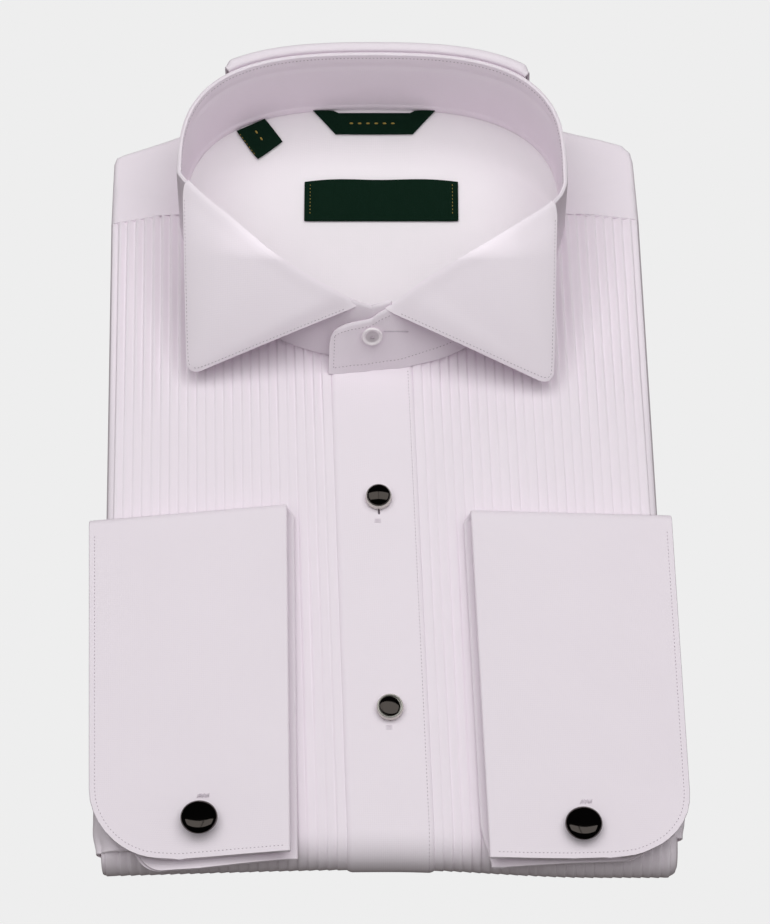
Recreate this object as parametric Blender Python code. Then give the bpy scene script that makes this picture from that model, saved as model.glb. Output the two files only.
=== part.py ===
# Long sleeve dress shirt, folded flat with its collar standing and both cuffs laid on the front.
# X runs to the viewer's right, Y towards the collar and Z up. The origin is under the middle of
# the folded shirt, on the surface that it lies on. Left and right are the viewer's.
# Sizes are in millimetres, and MM turns them into metres where a mesh is made.
import math

import bpy
from mathutils import Matrix, Vector

MM = 0.001
GAP = 0.3
SHARP_ANGLE = math.radians(40)

# The folded body: a front that wraps round both sides, turns under at the bottom fold and
# runs back up beneath as the tail.
HALF_WIDTH = 113.0
THICKNESS = 24.0
MIDDLE = THICKNESS / 2
BOTTOM_FOLD_Y = -164.0
TAIL_END_Y = 134.0
BOTTOM_RISE = {"most": 3.3, "middle_x": 2.0, "left": 155.0, "right": 80.0}
YOKE_SEAM_Y = {"neck": 118.5, "left": 112.4, "right": 114.4}
YOKE_SEAM_START = 82.0
NECK_TOP_Z = 20.5
FULL_TOP_Y = -30.0
SLEEVE_SPACE = 2.0
CENTRE_X = -1.8
CENTRE_LEAN = -0.0218
FOLD_TURNS = (22, 45, 68, 90, 115, 145, 180)
SIDE_TURNS = (90, 120, 150, 180)

# The pleated bib on each front.
PANEL_WALL = 2.3
PLEAT_DEPTH = 0.7
PLEAT_STEP = 0.5
PLEATS = {"left": 25, "right": 26}
PLEAT_REACH = math.radians(66)
PLEATS_FADE = {"from": 80, "over": 60}
FLANGE = 10.0

# The front placket, a strip laid on both fronts.
PLACKET_X = -4.0
PLACKET_LEAN = -0.038
PLACKET_HALF = 17.0
PLACKET_RECESS = 1.3
PLACKET_BED = 1.0
PLACKET_PROUD = 0.9
PLACKET_EDGE = 0.8
PLACKET_EDGE_DROP = 0.4
PLACKET_RISE = {"from_y": 50.0, "over": 40.0}
PLACKET_SETTLE = {"from": 90, "over": 60}
PLACKET_MIDDLE_Y = 20.0
BED_CLEAR = 0.35
BIB_CLEAR = 0.7

# The layers inside the fold, and the folded sleeves between its two halves. "half" is half of
# the sleeves' width.
HIDDEN_CLEAR = 0.9
HIDDEN_START = 2.0
HIDDEN_END = 1.5
HIDDEN_ROUND = 0.5
HIDDEN_CORNER = 0.3
HIDDEN_COLUMNS = 8
SLEEVE_LAYERS_THICK = 3.4
SLEEVE_LAYERS_EDGE = 1.0
SLEEVE_LAYERS = [
    {"y": -157.0, "half": 92.0},
    {"y": -154.0, "half": 95.0},
    {"y": -29.0, "half": 95.0},
    {"y": -24.0, "half": 107.0},
    {"y": 130.0, "half": 107.0},
    {"y": 141.0, "half": 104.0},
    {"y": 145.0, "half": 97.0},
]

# The collar: a base oval on the neck seam and a rim that comes to a V at the front.
NECK_X = -5.4
NECK_Y = 115.0
BASE_SIZE = {"half_width": 81.5, "front": 72.0, "back": 55.0}
BASE_ROUNDNESS = {"front": 1.72, "back": 2.7}
RIM_SIZE = {"half_width": 80.6, "front": 58.5, "back": 53.8}
RIM_ROUNDNESS = {"front": 1.18, "back": 3.0}
RIM_HEIGHT = [
    {"turn": 0, "z": 47.5},
    {"turn": 10, "z": 49.3},
    {"turn": 20, "z": 51.0},
    {"turn": 30, "z": 53.6},
    {"turn": 40, "z": 55.4},
    {"turn": 55, "z": 57.6},
    {"turn": 70, "z": 58.8},
    {"turn": 90, "z": 59.6},
    {"turn": 105, "z": 60.8},
    {"turn": 140, "z": 64.0},
    {"turn": 180, "z": 66.0},
]

# How far the rim and the neck seam stand back from their ovals. The left side of the seam lies
# higher on the chest than the right one, and the band's over end comes down over the placket.
# Minus turns are on the right.
RIM_BACK = [
    {"turn": -105, "y": 0.0},
    {"turn": -92, "y": -3.5},
    {"turn": -80, "y": -7.5},
    {"turn": -70, "y": -7.8},
    {"turn": -60, "y": -5.4},
    {"turn": -50, "y": -3.5},
    {"turn": -40, "y": -2.2},
    {"turn": -30, "y": -0.8},
    {"turn": -20, "y": 0.0},
]
SEAM_BACK = [
    {"turn": -75, "y": 0.0},
    {"turn": -60, "y": -1.0},
    {"turn": -45, "y": -2.0},
    {"turn": -29, "y": -2.9},
    {"turn": -20, "y": -2.3},
    {"turn": -6, "y": 2.4},
    {"turn": 0, "y": 2.8},
    {"turn": 16, "y": 3.2},
    {"turn": 30, "y": 2.5},
    {"turn": 45, "y": 1.2},
    {"turn": 60, "y": 0.4},
    {"turn": 75, "y": 0.0},
]
OVER_END_BACK = [
    {"turn": 338, "y": -2.4},
    {"turn": 346, "y": -0.1},
    {"turn": 353, "y": 1.6},
    {"turn": 360, "y": 1.5},
    {"turn": 368, "y": -0.3},
    {"turn": 376, "y": -3.7},
]
COLLAR_WALL = 2.0
NECK_SEAM_HALF = 0.6
UNDER_END_TURN = -6.0
OVER_END_TURN = 375.5
OVERLAP_STEP = 2.4
OVERLAP = {"from": 338, "over": 14}
RIM_SPREAD = 0.55
RIM_SPREAD_TURN = 60
RIM_FRONT = {"soften": 1.5, "over": 12}
STAND_HEIGHTS = (0, 0.25, 0.5, 0.75, 1)
OVER_END_ROUND = 22.0
OVER_END_HEIGHT = 0.5

# The wings fold down from the rim. Their fold starts and ends at these turns of the rim.
WING_WALL = 1.6
WING_STEPS = 8
WING_ROLL = {"share": 0.125, "start": 0.06, "in": 0.4, "out": 3.0, "up": 2.0, "drop": 1.5}
WING_BELLY = 2.5
WINGS = {
    "left": {"start": 76.0, "end": 8.5, "tip": (-82.2, 34.5, 32.0)},
    "right": {"start": 287.0, "end": 350.6, "tip": (69.8, 29.6, 32.0)},
}

# The strip on the back of the collar, rolled over just behind the rim.
FLAP_TURNS = (141.0, 224.0)
FLAP_DEPTH = 33.0
FLAP_WALL = 1.2
FLAP_ROLL = 1.8
FLAP_BELOW_RIM = 1.2
FLAP_INSIDE = 9.0
FLAP_SWELL = {"middle": 0.8, "end": 0.2}
FLAP_STEPS = 16

# Back, seen through the neck.
BACK_WALL = 1.5
BACK_Z = 16.3
BACK_FRONT_Y = 38.0
BACK_MIDDLE_Y = 82.0
BACK_RISE = 18.0
BACK_ROWS = (0.0, 4.0, 8.0, 12.0, BACK_RISE)

# Yoke over the shoulders: one row for each place along its outer fold, from the yoke seam at
# the side round the shoulder to the middle of the back. "inset" is from the side line, "turn"
# is where the row starts on the collar's base, and "fold" is the thickness of the outer fold.
YOKE_WALL = 1.5
YOKE_UNDER_Z = 14.0
YOKE_UNDER_TAIL = 7.0
YOKE = [
    {"inset": 0.0, "left_y": 112.8, "right_y": 114.8, "turn": 90, "fold": 6.5},
    {"inset": 0.4, "left_y": 130.0, "right_y": 131.0, "turn": 95, "fold": 4.8},
    {"inset": 0.9, "left_y": 143.5, "right_y": 144.5, "turn": 98, "fold": 4.2},
    {"inset": 1.8, "left_y": 146.4, "right_y": 149.2, "turn": 100, "fold": 4.0},
    {"inset": 5.0, "left_y": 148.0, "right_y": 152.7, "turn": 102, "fold": 4.0},
    {"inset": 14.0, "left_y": 151.3, "right_y": 155.6, "turn": 105, "fold": 4.0},
    {"inset": 24.0, "left_y": 155.2, "right_y": 158.3, "turn": 109, "fold": 4.0},
    {"inset": 34.0, "left_y": 159.3, "right_y": 161.0, "turn": 115, "fold": 4.2},
    {"inset": 46.0, "left_y": 164.0, "right_y": 164.8, "turn": 126, "fold": 4.6},
    {"inset": 67.0, "left_y": 170.0, "right_y": 170.2, "turn": 149, "fold": 5.2},
    {"inset": 90.0, "left_y": 173.6, "right_y": 173.6, "turn": 167, "fold": 5.8},
    {"inset": 113.4, "left_y": 174.6, "right_y": 174.6, "turn": 180, "fold": 6.0},
]

# Sleeves come out of the space between the two halves of the fold and turn up round the sides.
SLEEVE_WALL = 2.6
SLEEVE_TOP_Z = 29.2
SLEEVE_UNDER_Z = 11.4
SLEEVE_SWING = 10.0
SLEEVE_SQUARE = 0.82
SLEEVE_CLEAR = 0.7
SLEEVE_ROWS_Y = (-161.5, -140.0, -90.0, -37.5)
SLEEVE_END_SLOPE = {"left": 9.0, "right": 4.0}
SLEEVE_SLOPE_FADE = {"until": 140, "over": 60}
SLEEVE_IN_CUFF = 24.0
SLEEVE_UNDER_TAIL = 3.0

# Double cuffs. Corners are (x, y) on the folded cuff, "outer" is away from the placket.
CUFF_WALL = 1.3
CUFF_LAYER = 0.85
CUFF_MIDDLE_Z = 29.2
CUFF_LOOP = 3.1
CUFF_CORNER = 27.0
CUFF_UNDER_INSET = 17.5
CUFF_UNDER_CORNER = 10.0
CUFF_UNDER_WIDER = 2.8
CUFF_UNDER_LONGER = 3.0
CUFFS = {
    "left": {
        "outer_top": (-119.8, -31.1), "inner_top": (-40.8, -23.6),
        "outer_bottom": (-114.4, -174.0), "inner_bottom": (-37.6, -172.6),
        "link": (-72.2, -159.4),
    },
    "right": {
        "outer_top": (116.0, -28.7), "inner_top": (35.6, -26.3),
        "outer_bottom": (119.4, -175.4), "inner_bottom": (41.5, -175.0),
        "link": (77.1, -161.9),
    },
}

# Small round pieces: profiles are (radius, height) from the bottom middle to the top middle.
LINK_PROFILE = [(5.4, 0.0), (7.1, 0.9), (7.2, 1.9), (6.6, 2.9), (5.0, 3.7), (2.6, 4.2), (0, 4.35)]
STUD_RIM_PROFILE = [(3.6, 0.0), (5.4, 0.6), (5.4, 1.3), (5.05, 2.3), (4.95, 3.0), (4.75, 3.0),
                    (4.6, 2.2), (0, 2.2)]
STUD_FACE_PROFILE = [(4.15, 2.5), (4.45, 3.0), (4.7, 3.4), (4.6, 3.7), (3.9, 4.15), (2.4, 4.5),
                     (0, 4.65)]
BUTTON_PROFILE = [(3.0, 0.0), (4.2, 0.6), (4.4, 1.1), (4.1, 1.6), (3.5, 1.7), (2.8, 1.2), (0, 1.2)]
STUDS = {"upper": (-2.6, -18.6), "lower": (2.0, -110.5)}
BUTTON_X = -5.4
BUTTON_TURN = 360.0
BUTTON_HEIGHT = 0.62

# Woven labels on the inside of the back: corners are (x, y).
LABEL_WALL = 1.0
LABEL_BOW = 1.8
LABEL_LIFT = {"large": 0.0, "neck": 0.4, "size": 0.5}
LABEL_LARGE = {"left": -34.4, "right": 31.2, "front": 115.2, "middle": 127.0, "back": 134.5}
LABEL_NECK = {"left": -31.0, "right": 21.6, "back": 167.6, "front": 157.8, "mitre": 9.6}
LABEL_SIZE = [(-64.0, 157.4), (-52.2, 163.2), (-44.7, 154.1), (-55.0, 146.1)]

LOOKS = {
    "white_cotton": {"colour": (0.80, 0.75, 0.79, 1), "roughness": 0.8, "metallic": 0.0},
    "white_cotton_folded": {"colour": (0.80, 0.75, 0.79, 1), "roughness": 0.85, "metallic": 0.0},
    "label_green": {"colour": (0.006, 0.016, 0.010, 1), "roughness": 0.7, "metallic": 0.0},
    "black_enamel": {"colour": (0.004, 0.003, 0.003, 1), "roughness": 0.12, "metallic": 0.0},
    "silver": {"colour": (0.75, 0.74, 0.75, 1), "roughness": 0.22, "metallic": 1.0},
    "button_white": {"colour": (0.78, 0.76, 0.78, 1), "roughness": 0.3, "metallic": 0.0},
}


def smooth(value):
    """Ease from 0 to 1 as value goes from 0 to 1."""
    value = min(max(value, 0.0), 1.0)
    return value * value * (3 - 2 * value)


def material(name):
    look = LOOKS[name]
    made = bpy.data.materials.new(name)
    made.use_nodes = True
    shader = made.node_tree.nodes["Principled BSDF"]
    shader.inputs["Base Color"].default_value = look["colour"]
    shader.inputs["Roughness"].default_value = look["roughness"]
    shader.inputs["Metallic"].default_value = look["metallic"]
    made.diffuse_color = look["colour"]
    return made


def make_object(name, points, faces, look):
    mesh = bpy.data.meshes.new(name)
    mesh.from_pydata([Vector(point) * MM for point in points], [], faces)
    mesh.validate()
    mesh.shade_smooth()
    mesh.set_sharp_from_angle(angle=SHARP_ANGLE)
    mesh.materials.append(look)
    part = bpy.data.objects.new(name, mesh)
    bpy.context.collection.objects.link(part)
    return part


def closed_wall(name, outer, inner, look):
    """Join two grids of points, row by row, into one closed wall. Seen from the outer grid's
    side, its rows run anticlockwise after its columns."""
    rows, columns = len(outer), len(outer[0])
    points = [point for row in outer for point in row] + [point for row in inner for point in row]
    under = rows * columns

    def at(row, column):
        return row * columns + column

    faces = []
    for row in range(rows - 1):
        for column in range(columns - 1):
            loop = (at(row, column), at(row, column + 1), at(row + 1, column + 1), at(row + 1, column))
            faces.append(loop)
            faces.append(tuple(under + corner for corner in reversed(loop)))
    edge = [at(0, column) for column in range(columns)]
    edge += [at(row, columns - 1) for row in range(1, rows)]
    edge += [at(rows - 1, column) for column in range(columns - 2, -1, -1)]
    edge += [at(row, 0) for row in range(rows - 2, 0, -1)]
    for here, there in zip(edge, edge[1:] + edge[:1]):
        faces.append((there, here, under + here, under + there))
    return make_object(name, points, faces, look)


def grid_normals(grid):
    """Unit normals of a grid of points, on the side from which its rows run anticlockwise
    after its columns."""
    rows, columns = len(grid), len(grid[0])
    normals = []
    for row in range(rows):
        normals.append([])
        for column in range(columns):
            across = grid[row][min(column + 1, columns - 1)] - grid[row][max(column - 1, 0)]
            along = grid[min(row + 1, rows - 1)][column] - grid[max(row - 1, 0)][column]
            normals[-1].append(across.cross(along).normalized())
    return normals


def thick_sheet(name, grid, wall, look):
    """A closed wall with the grid as its middle surface."""
    normals = grid_normals(grid)
    pairs = [list(zip(points, directions)) for points, directions in zip(grid, normals)]
    outer = [[point + direction * (wall / 2) for point, direction in row] for row in pairs]
    inner = [[point - direction * (wall / 2) for point, direction in row] for row in pairs]
    return closed_wall(name, outer, inner, look)


def loft(name, rings, look):
    """A closed solid through rings of points, with a flat face at each end."""
    count = len(rings[0])
    points = [point for ring in rings for point in ring]
    faces = [tuple(range(count))]
    for ring in range(len(rings) - 1):
        for corner in range(count):
            here = ring * count + corner
            there = ring * count + (corner + 1) % count
            faces.append((there, here, here + count, there + count))
    faces.append(tuple(range(len(points) - 1, len(points) - count - 1, -1)))
    return make_object(name, points, faces, look)


def turned(name, profile, look, segments=24):
    """A solid turned about Z from a profile of (radius, height), from the bottom upwards."""
    points = [Vector((0, 0, profile[0][1]))]
    rings = [pair for pair in profile if pair[0] > 0]
    for radius, height in rings:
        for step in range(segments):
            angle = 2 * math.pi * step / segments
            points.append(Vector((radius * math.cos(angle), radius * math.sin(angle), height)))
    points.append(Vector((0, 0, profile[-1][1])))
    faces = []
    for step in range(segments):
        following = (step + 1) % segments
        faces.append((0, 1 + following, 1 + step))
        for ring in range(len(rings) - 1):
            low, high = 1 + ring * segments, 1 + (ring + 1) * segments
            faces.append((low + step, low + following, high + following, high + step))
        last = 1 + (len(rings) - 1) * segments
        faces.append((last + step, last + following, len(points) - 1))
    return make_object(name, points, faces, look)


# ---- the folded body ----

def centre_x(y):
    return CENTRE_X + CENTRE_LEAN * y


def side_x(y, side):
    return centre_x(y) + side * HALF_WIDTH


def placket_x(y):
    return PLACKET_X + PLACKET_LEAN * y


def top_z(y):
    """Height of the cloth on top of the folded body."""
    slope = min(max((y - FULL_TOP_Y) / (NECK_Y - FULL_TOP_Y), 0.0), 1.0)
    return THICKNESS - (THICKNESS - NECK_TOP_Z) * slope


def table_value(table, turn, column):
    """A column's value at a turn, on straight lines between a table's rows."""
    if turn <= table[0]["turn"]:
        return table[0][column]
    for low, high in zip(table, table[1:]):
        if turn <= high["turn"]:
            share = (turn - low["turn"]) / (high["turn"] - low["turn"])
            return low[column] + (high[column] - low[column]) * share
    return table[-1][column]


def bottom_rise(x, y):
    """How far the cloth's lower end lies back from a straight bottom fold."""
    out = x - BOTTOM_RISE["middle_x"]
    reach = min(abs(out) / BOTTOM_RISE["left" if out < 0 else "right"], 1.0)
    down = min(max((FULL_TOP_Y - y) / (FULL_TOP_Y - BOTTOM_FOLD_Y), 0.0), 1.0)
    return BOTTOM_RISE["most"] * smooth(1 - reach) * down


def on_fold(x, height, y, turn):
    """A point at a height above the middle of the fold. Turn is 0 on top, 180 degrees beneath."""
    angle = math.radians(turn)
    y += bottom_rise(x, y)
    return Vector((x, y - height * math.sin(angle), MIDDLE + height * math.cos(angle)))


def seam_y(x):
    """Y of the yoke seam, which falls from the neck towards the side."""
    side_name = "left" if x < NECK_X else "right"
    out = (abs(x - NECK_X) - YOKE_SEAM_START) / (HALF_WIDTH - YOKE_SEAM_START)
    return YOKE_SEAM_Y["neck"] + (YOKE_SEAM_Y[side_name] - YOKE_SEAM_Y["neck"]) * min(max(out, 0), 1)


def fold_stations(start_y, end_y):
    """Places (y, turn) along the fold, from a start on top, round the bottom and up beneath."""
    stations = [(start_y, 0), (FULL_TOP_Y, 0), (BOTTOM_FOLD_Y, 0)]
    stations += [(BOTTOM_FOLD_Y, turn) for turn in FOLD_TURNS]
    stations.append((end_y, 180))
    return stations


def pleats_showing(turn):
    """Pleats stand up on top and round the fold, and are pressed flat beneath."""
    return 1 - smooth((turn - PLEATS_FADE["from"]) / PLEATS_FADE["over"])


def panel_columns(side_name):
    """Columns of a front, from under the placket outwards and round the side."""
    columns = [
        {"kind": "bed", "place": GAP / 2, "drop": PLACKET_RECESS},
        {"kind": "bed", "place": PLACKET_HALF + BED_CLEAR, "drop": PLACKET_RECESS},
    ]
    count = PLEATS[side_name]
    for pleat in range(count):
        columns.append({"kind": "pleat", "place": (pleat, PLEAT_STEP / 2), "drop": PLEAT_DEPTH})
        columns.append({"kind": "pleat", "place": (pleat + 1, -PLEAT_STEP / 2), "drop": 0.0})
    for angle in SIDE_TURNS:
        columns.append({"kind": "wrap", "place": math.radians(angle), "drop": 0.0})
    columns.append({"kind": "flange", "place": FLANGE, "drop": 0.0})
    return columns


def section_point(column, side, count, y, turn, plain):
    """(x, height) of a front's column at one station. Plain is the flat inside of the wall."""
    height = top_z(y) - MIDDLE if turn == 0 else MIDDLE
    radius = (height - SLEEVE_SPACE) / 2
    bend_x = side_x(y, side) - side * radius
    first_x = placket_x(y) + side * (PLACKET_HALF + BIB_CLEAR)
    drop = PANEL_WALL
    if not plain:
        fades = column["kind"] == "pleat"
        drop = column["drop"] * (pleats_showing(turn) if fades else 1)
    if column["kind"] == "bed":
        return placket_x(y) + side * column["place"], height - drop
    if column["kind"] == "flange":
        return bend_x - side * column["place"], SLEEVE_SPACE + drop
    flat = abs(bend_x - first_x)
    if column["kind"] == "pleat":
        number, shift = column["place"]
        distance = (flat + radius * PLEAT_REACH) * number / count + shift
        if distance <= flat:
            return first_x + side * distance, height - drop
        angle = (distance - flat) / radius
    else:
        angle = column["place"]
    out = (radius - drop) * math.sin(angle)
    return bend_x + side * out, height - radius + (radius - drop) * math.cos(angle)


def base_front_y(x):
    """Y of the neck seam at the front, or the yoke seam beside the neck."""
    reach = abs(x - NECK_X) / BASE_SIZE["half_width"]
    if reach >= 1:
        return seam_y(x)
    power = BASE_ROUNDNESS["front"]
    depth = BASE_SIZE["front"] * (1 - reach ** power) ** (1 / power)
    turn = math.copysign(math.degrees(math.asin(reach ** (power / 2))), NECK_X - x)
    return min(NECK_Y - depth + table_value(SEAM_BACK, turn, "y") - GAP / 2, seam_y(x))


def make_front(side_name, look):
    side = -1 if side_name == "left" else 1
    columns = panel_columns(side_name)
    count = PLEATS[side_name]
    outer, inner = [], []
    for column in columns:
        start_y = NECK_Y
        for _ in range(6):
            x, _ = section_point(column, side, count, start_y, 0, False)
            start_y = base_front_y(x) if column["kind"] in ("bed", "pleat") else seam_y(x)
        stations = fold_stations(start_y, TAIL_END_Y)
        outer.append([])
        inner.append([])
        for y, turn in stations:
            x, height = section_point(column, side, count, y, turn, False)
            outer[-1].append(on_fold(x, height, y, turn))
            x, height = section_point(column, side, count, y, turn, True)
            inner[-1].append(on_fold(x, height, y, turn))
    if side < 0:
        outer.reverse()
        inner.reverse()
    return closed_wall(f"front_{side_name}", outer, inner, look)


def make_placket(look):
    """The strip over both fronts. It stands proud on top and is flush where the shirt rests."""
    grid_out, grid_in = [], []
    inside = PLACKET_HALF - PLACKET_EDGE
    for offset in (-PLACKET_HALF, -inside, 0.0, inside, PLACKET_HALF):
        start_y = NECK_Y - BASE_SIZE["front"]
        for _ in range(6):
            start_y = base_front_y(placket_x(start_y) + offset)
        stations = fold_stations(start_y, TAIL_END_Y)
        stations.insert(1, (PLACKET_MIDDLE_Y, 0))
        grid_out.append([])
        grid_in.append([])
        for y, turn in stations:
            height = top_z(y) - MIDDLE if turn == 0 else MIDDLE
            proud = PLACKET_PROUD * smooth((PLACKET_RISE["from_y"] - y) / PLACKET_RISE["over"])
            proud *= 1 - smooth((turn - PLACKET_SETTLE["from"]) / PLACKET_SETTLE["over"])
            x = placket_x(y) + offset
            drop = PLACKET_EDGE_DROP if abs(offset) == PLACKET_HALF else 0.0
            grid_out[-1].append(on_fold(x, height + proud - drop, y, turn))
            grid_in[-1].append(on_fold(x, height - PLACKET_BED, y, turn))
    return closed_wall("placket", grid_out, grid_in, look)


def make_hidden_layers(look):
    """The layers inside the fold: one rounded slab along the fold, which fills the body."""
    rings = []
    half = HALF_WIDTH - PANEL_WALL - HIDDEN_CLEAR
    low = SLEEVE_SPACE + PANEL_WALL + GAP
    for y, turn in fold_stations(BACK_FRONT_Y - HIDDEN_START, TAIL_END_Y - HIDDEN_END):
        top = (top_z(y) - MIDDLE if turn == 0 else MIDDLE) - PANEL_WALL - GAP
        soft = (top - low) * HIDDEN_ROUND
        cut = soft * HIDDEN_CORNER
        inside = half - soft
        flat = [inside * (2 * step / HIDDEN_COLUMNS - 1) for step in range(HIDDEN_COLUMNS + 1)]
        outline = [(-half + cut, low + cut), (-half, low + soft), (-half + cut, top - cut)]
        outline += [(x, top) for x in flat]
        outline += [(half - cut, top - cut), (half, low + soft), (half - cut, low + cut)]
        outline += [(x, low) for x in reversed(flat)]
        rings.append([on_fold(centre_x(y) + x, height, y, turn) for x, height in outline])
    return loft("hidden_layers", rings, look)


def make_sleeve_layers(look):
    """The folded sleeves between the two halves of the fold, one flat rounded slab."""
    high = YOKE_UNDER_Z - GAP
    low = high - SLEEVE_LAYERS_THICK
    soft = SLEEVE_LAYERS_EDGE
    rings = []
    for row in SLEEVE_LAYERS:
        half = row["half"]
        outline = [
            (-half + soft, low), (-half, low + soft), (-half, high - soft), (-half + soft, high),
            (half - soft, high), (half, high - soft), (half, low + soft), (half - soft, low),
        ]
        middle = centre_x(row["y"])
        rings.append([Vector((middle + x, row["y"], z)) for x, z in reversed(outline)])
    return loft("sleeve_layers", rings, look)


# ---- collar ----

def signed_power(value, power):
    return math.copysign(abs(value) ** power, value)


def oval_point(size, roundness, turn, out=0.0):
    """Plan point of an oval about the neck. Turn 0 is the front, 90 left and 180 the back."""
    angle = math.radians(turn)
    end = "front" if math.cos(angle) > 0 else "back"
    power = 2 / roundness[end]
    across = -(size["half_width"] + out) * signed_power(math.sin(angle), power)
    along = -(size[end] + out) * signed_power(math.cos(angle), power)
    return Vector((NECK_X + across, NECK_Y + along, 0))


def folded_turn(turn):
    """The same turn between -180 and 180, minus on the right."""
    return (turn + 180) % 360 - 180


def rim_z(turn):
    """Height of the rim, the same on both sides."""
    return table_value(RIM_HEIGHT, abs(folded_turn(turn)), "z")


def base_z(point):
    return top_z(point.y) + GAP


def collar_point(turn, height, out=0.0):
    """A point on the stand's middle surface, height 0 at the neck seam and 1 at the rim. Near
    the front the rim runs ahead of the seam, so that the band's end stands upright."""
    step = OVERLAP_STEP * smooth((turn - OVERLAP["from"]) / OVERLAP["over"])
    base = oval_point(BASE_SIZE, BASE_ROUNDNESS, turn, out + step)
    folded = folded_turn(turn)
    ahead = RIM_SPREAD * folded * (1 - smooth(abs(folded) / RIM_SPREAD_TURN))
    rim = oval_point(RIM_SIZE, RIM_ROUNDNESS, turn + ahead, out + step)
    rim.y += RIM_FRONT["soften"] * (1 - smooth(abs(folded) / RIM_FRONT["over"]))
    rim.y += table_value(RIM_BACK, folded, "y")
    over_end = turn > OVER_END_BACK[0]["turn"]
    base.y += table_value(OVER_END_BACK if over_end else SEAM_BACK, turn if over_end else folded, "y")
    base.z = base_z(base)
    rim.z = rim_z(turn)
    return base.lerp(rim, height)


def collar_normal(turn, height):
    """Unit normal of the stand, out from the neck."""
    across = collar_point(turn + 1.5, height) - collar_point(turn - 1.5, height)
    along = collar_point(turn, height + 0.05) - collar_point(turn, height - 0.05)
    return along.cross(across).normalized()


def make_stand(look):
    turns = [UNDER_END_TURN, 0, 5]
    turns += list(range(12, 80, 9)) + list(range(81, 100, 6)) + list(range(105, 256, 8))
    turns += list(range(261, 280, 6)) + list(range(285, 336, 9)) + [340, 346, 351, 356, 360]
    left = OVER_END_TURN - 360
    turns += [360 + left * share for share in (0.35, 0.6, 0.8, 0.93, 1.0)]
    outer, inner = [], []
    end_x = collar_point(OVER_END_TURN, 0.5).x
    for turn in turns:
        reach = 1.0
        if turn > 350:
            near = max(1 - (collar_point(turn, 0.5).x - end_x) / OVER_END_ROUND, 0.0)
            reach = OVER_END_HEIGHT + (1 - OVER_END_HEIGHT) * math.sqrt(max(1 - near, 0.0))
        outer.append([])
        inner.append([])
        for share in STAND_HEIGHTS:
            point = collar_point(turn, reach * share)
            out = collar_normal(turn, reach * share)
            out.z = 0
            out = out.normalized() * (COLLAR_WALL / 2)
            outer[-1].append(point + out)
            inner[-1].append(point - out)
    return closed_wall("collar_stand", outer, inner, look)


def triangle_sheet(name, surface, steps, wall, look):
    """A closed triangular wall. Surface gives a point for each pair of shares (along the first
    edge, towards the third corner)."""
    rows = [[surface(column / max(steps - row, 1), row / steps) for column in range(steps - row + 1)]
            for row in range(steps + 1)]
    flat = [point for row in rows for point in row]
    starts = [sum(len(rows[before]) for before in range(row)) for row in range(steps + 1)]
    triangles = []
    for row in range(steps):
        for column in range(steps - row):
            low, high = starts[row] + column, starts[row + 1] + column
            triangles.append((low, low + 1, high))
            if column < steps - row - 1:
                triangles.append((low + 1, high + 1, high))
    normals = [Vector((0, 0, 0)) for _ in flat]
    for corners in triangles:
        first, second, third = (flat[corner] for corner in corners)
        direction = (second - first).cross(third - first)
        for corner in corners:
            normals[corner] += direction
    normals = [direction.normalized() for direction in normals]
    points = [point + direction * (wall / 2) for point, direction in zip(flat, normals)]
    points += [point - direction * (wall / 2) for point, direction in zip(flat, normals)]
    under = len(flat)
    faces = list(triangles)
    faces += [tuple(under + corner for corner in reversed(corners)) for corners in triangles]
    edge = list(range(steps + 1))
    edge += [starts[row] + steps - row for row in range(1, steps + 1)]
    edge += [starts[row] for row in range(steps - 1, 0, -1)]
    for here, there in zip(edge, edge[1:] + edge[:1]):
        faces.append((there, here, under + here, under + there))
    return make_object(name, points, faces, look)


def make_wing(side_name, look):
    """A wing: from over the rim it rolls outwards and comes down to its tip."""
    wing, roll = WINGS[side_name], WING_ROLL
    tip = Vector(wing["tip"])

    def surface(along, down):
        turn = wing["end"] + (wing["start"] - wing["end"]) * along
        out = collar_normal(turn, 0.9)
        out.z = 0
        out.normalize()
        over = min(down / roll["share"], 1.0)
        start = collar_point(turn, 1) + out * (roll["out"] * over - roll["in"])
        start.z += roll["up"] - roll["drop"] * over * over
        fall = max(down - roll["start"], 0) / (1 - roll["start"])
        belly = WING_BELLY * math.sin(math.pi * down) * (0.4 + 0.6 * math.sin(math.pi * along))
        return start.lerp(tip, fall) + Vector((0, 0, belly))

    return triangle_sheet(f"wing_{side_name}", surface, WING_STEPS, WING_WALL, look)


def make_flap(look):
    """The strip behind the rim: up the stand, over a roll and down its back."""
    start, end = FLAP_TURNS
    near = COLLAR_WALL / 2 + GAP + FLAP_WALL / 2
    far = near + 2 * FLAP_ROLL
    grid = []
    for step in range(FLAP_STEPS + 1):
        turn = start + (end - start) * step / FLAP_STEPS
        top = rim_z(turn) - FLAP_BELOW_RIM
        path = [(near, top - FLAP_INSIDE), (near, top)]
        for angle in (45, 90, 135, 180):
            bend = math.radians(angle)
            out = near + FLAP_ROLL * (1 - math.cos(bend))
            path.append((out, top + FLAP_ROLL * math.sin(bend)))
        path.append((far + FLAP_SWELL["middle"], top - FLAP_DEPTH / 2))
        path.append((far + FLAP_SWELL["end"], top - FLAP_DEPTH))
        column = []
        for out, z in path:
            point = oval_point(RIM_SIZE, RIM_ROUNDNESS, turn, out)
            foot = oval_point(BASE_SIZE, BASE_ROUNDNESS, turn, out)
            height = (rim_z(turn) - z) / (rim_z(turn) - NECK_TOP_Z)
            point = point.lerp(foot, min(max(height, 0), 1))
            point.z = z
            column.append(point)
        grid.append(column)
    return thick_sheet("back_flap", grid, FLAP_WALL, look)


# ---- yoke and back ----

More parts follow.
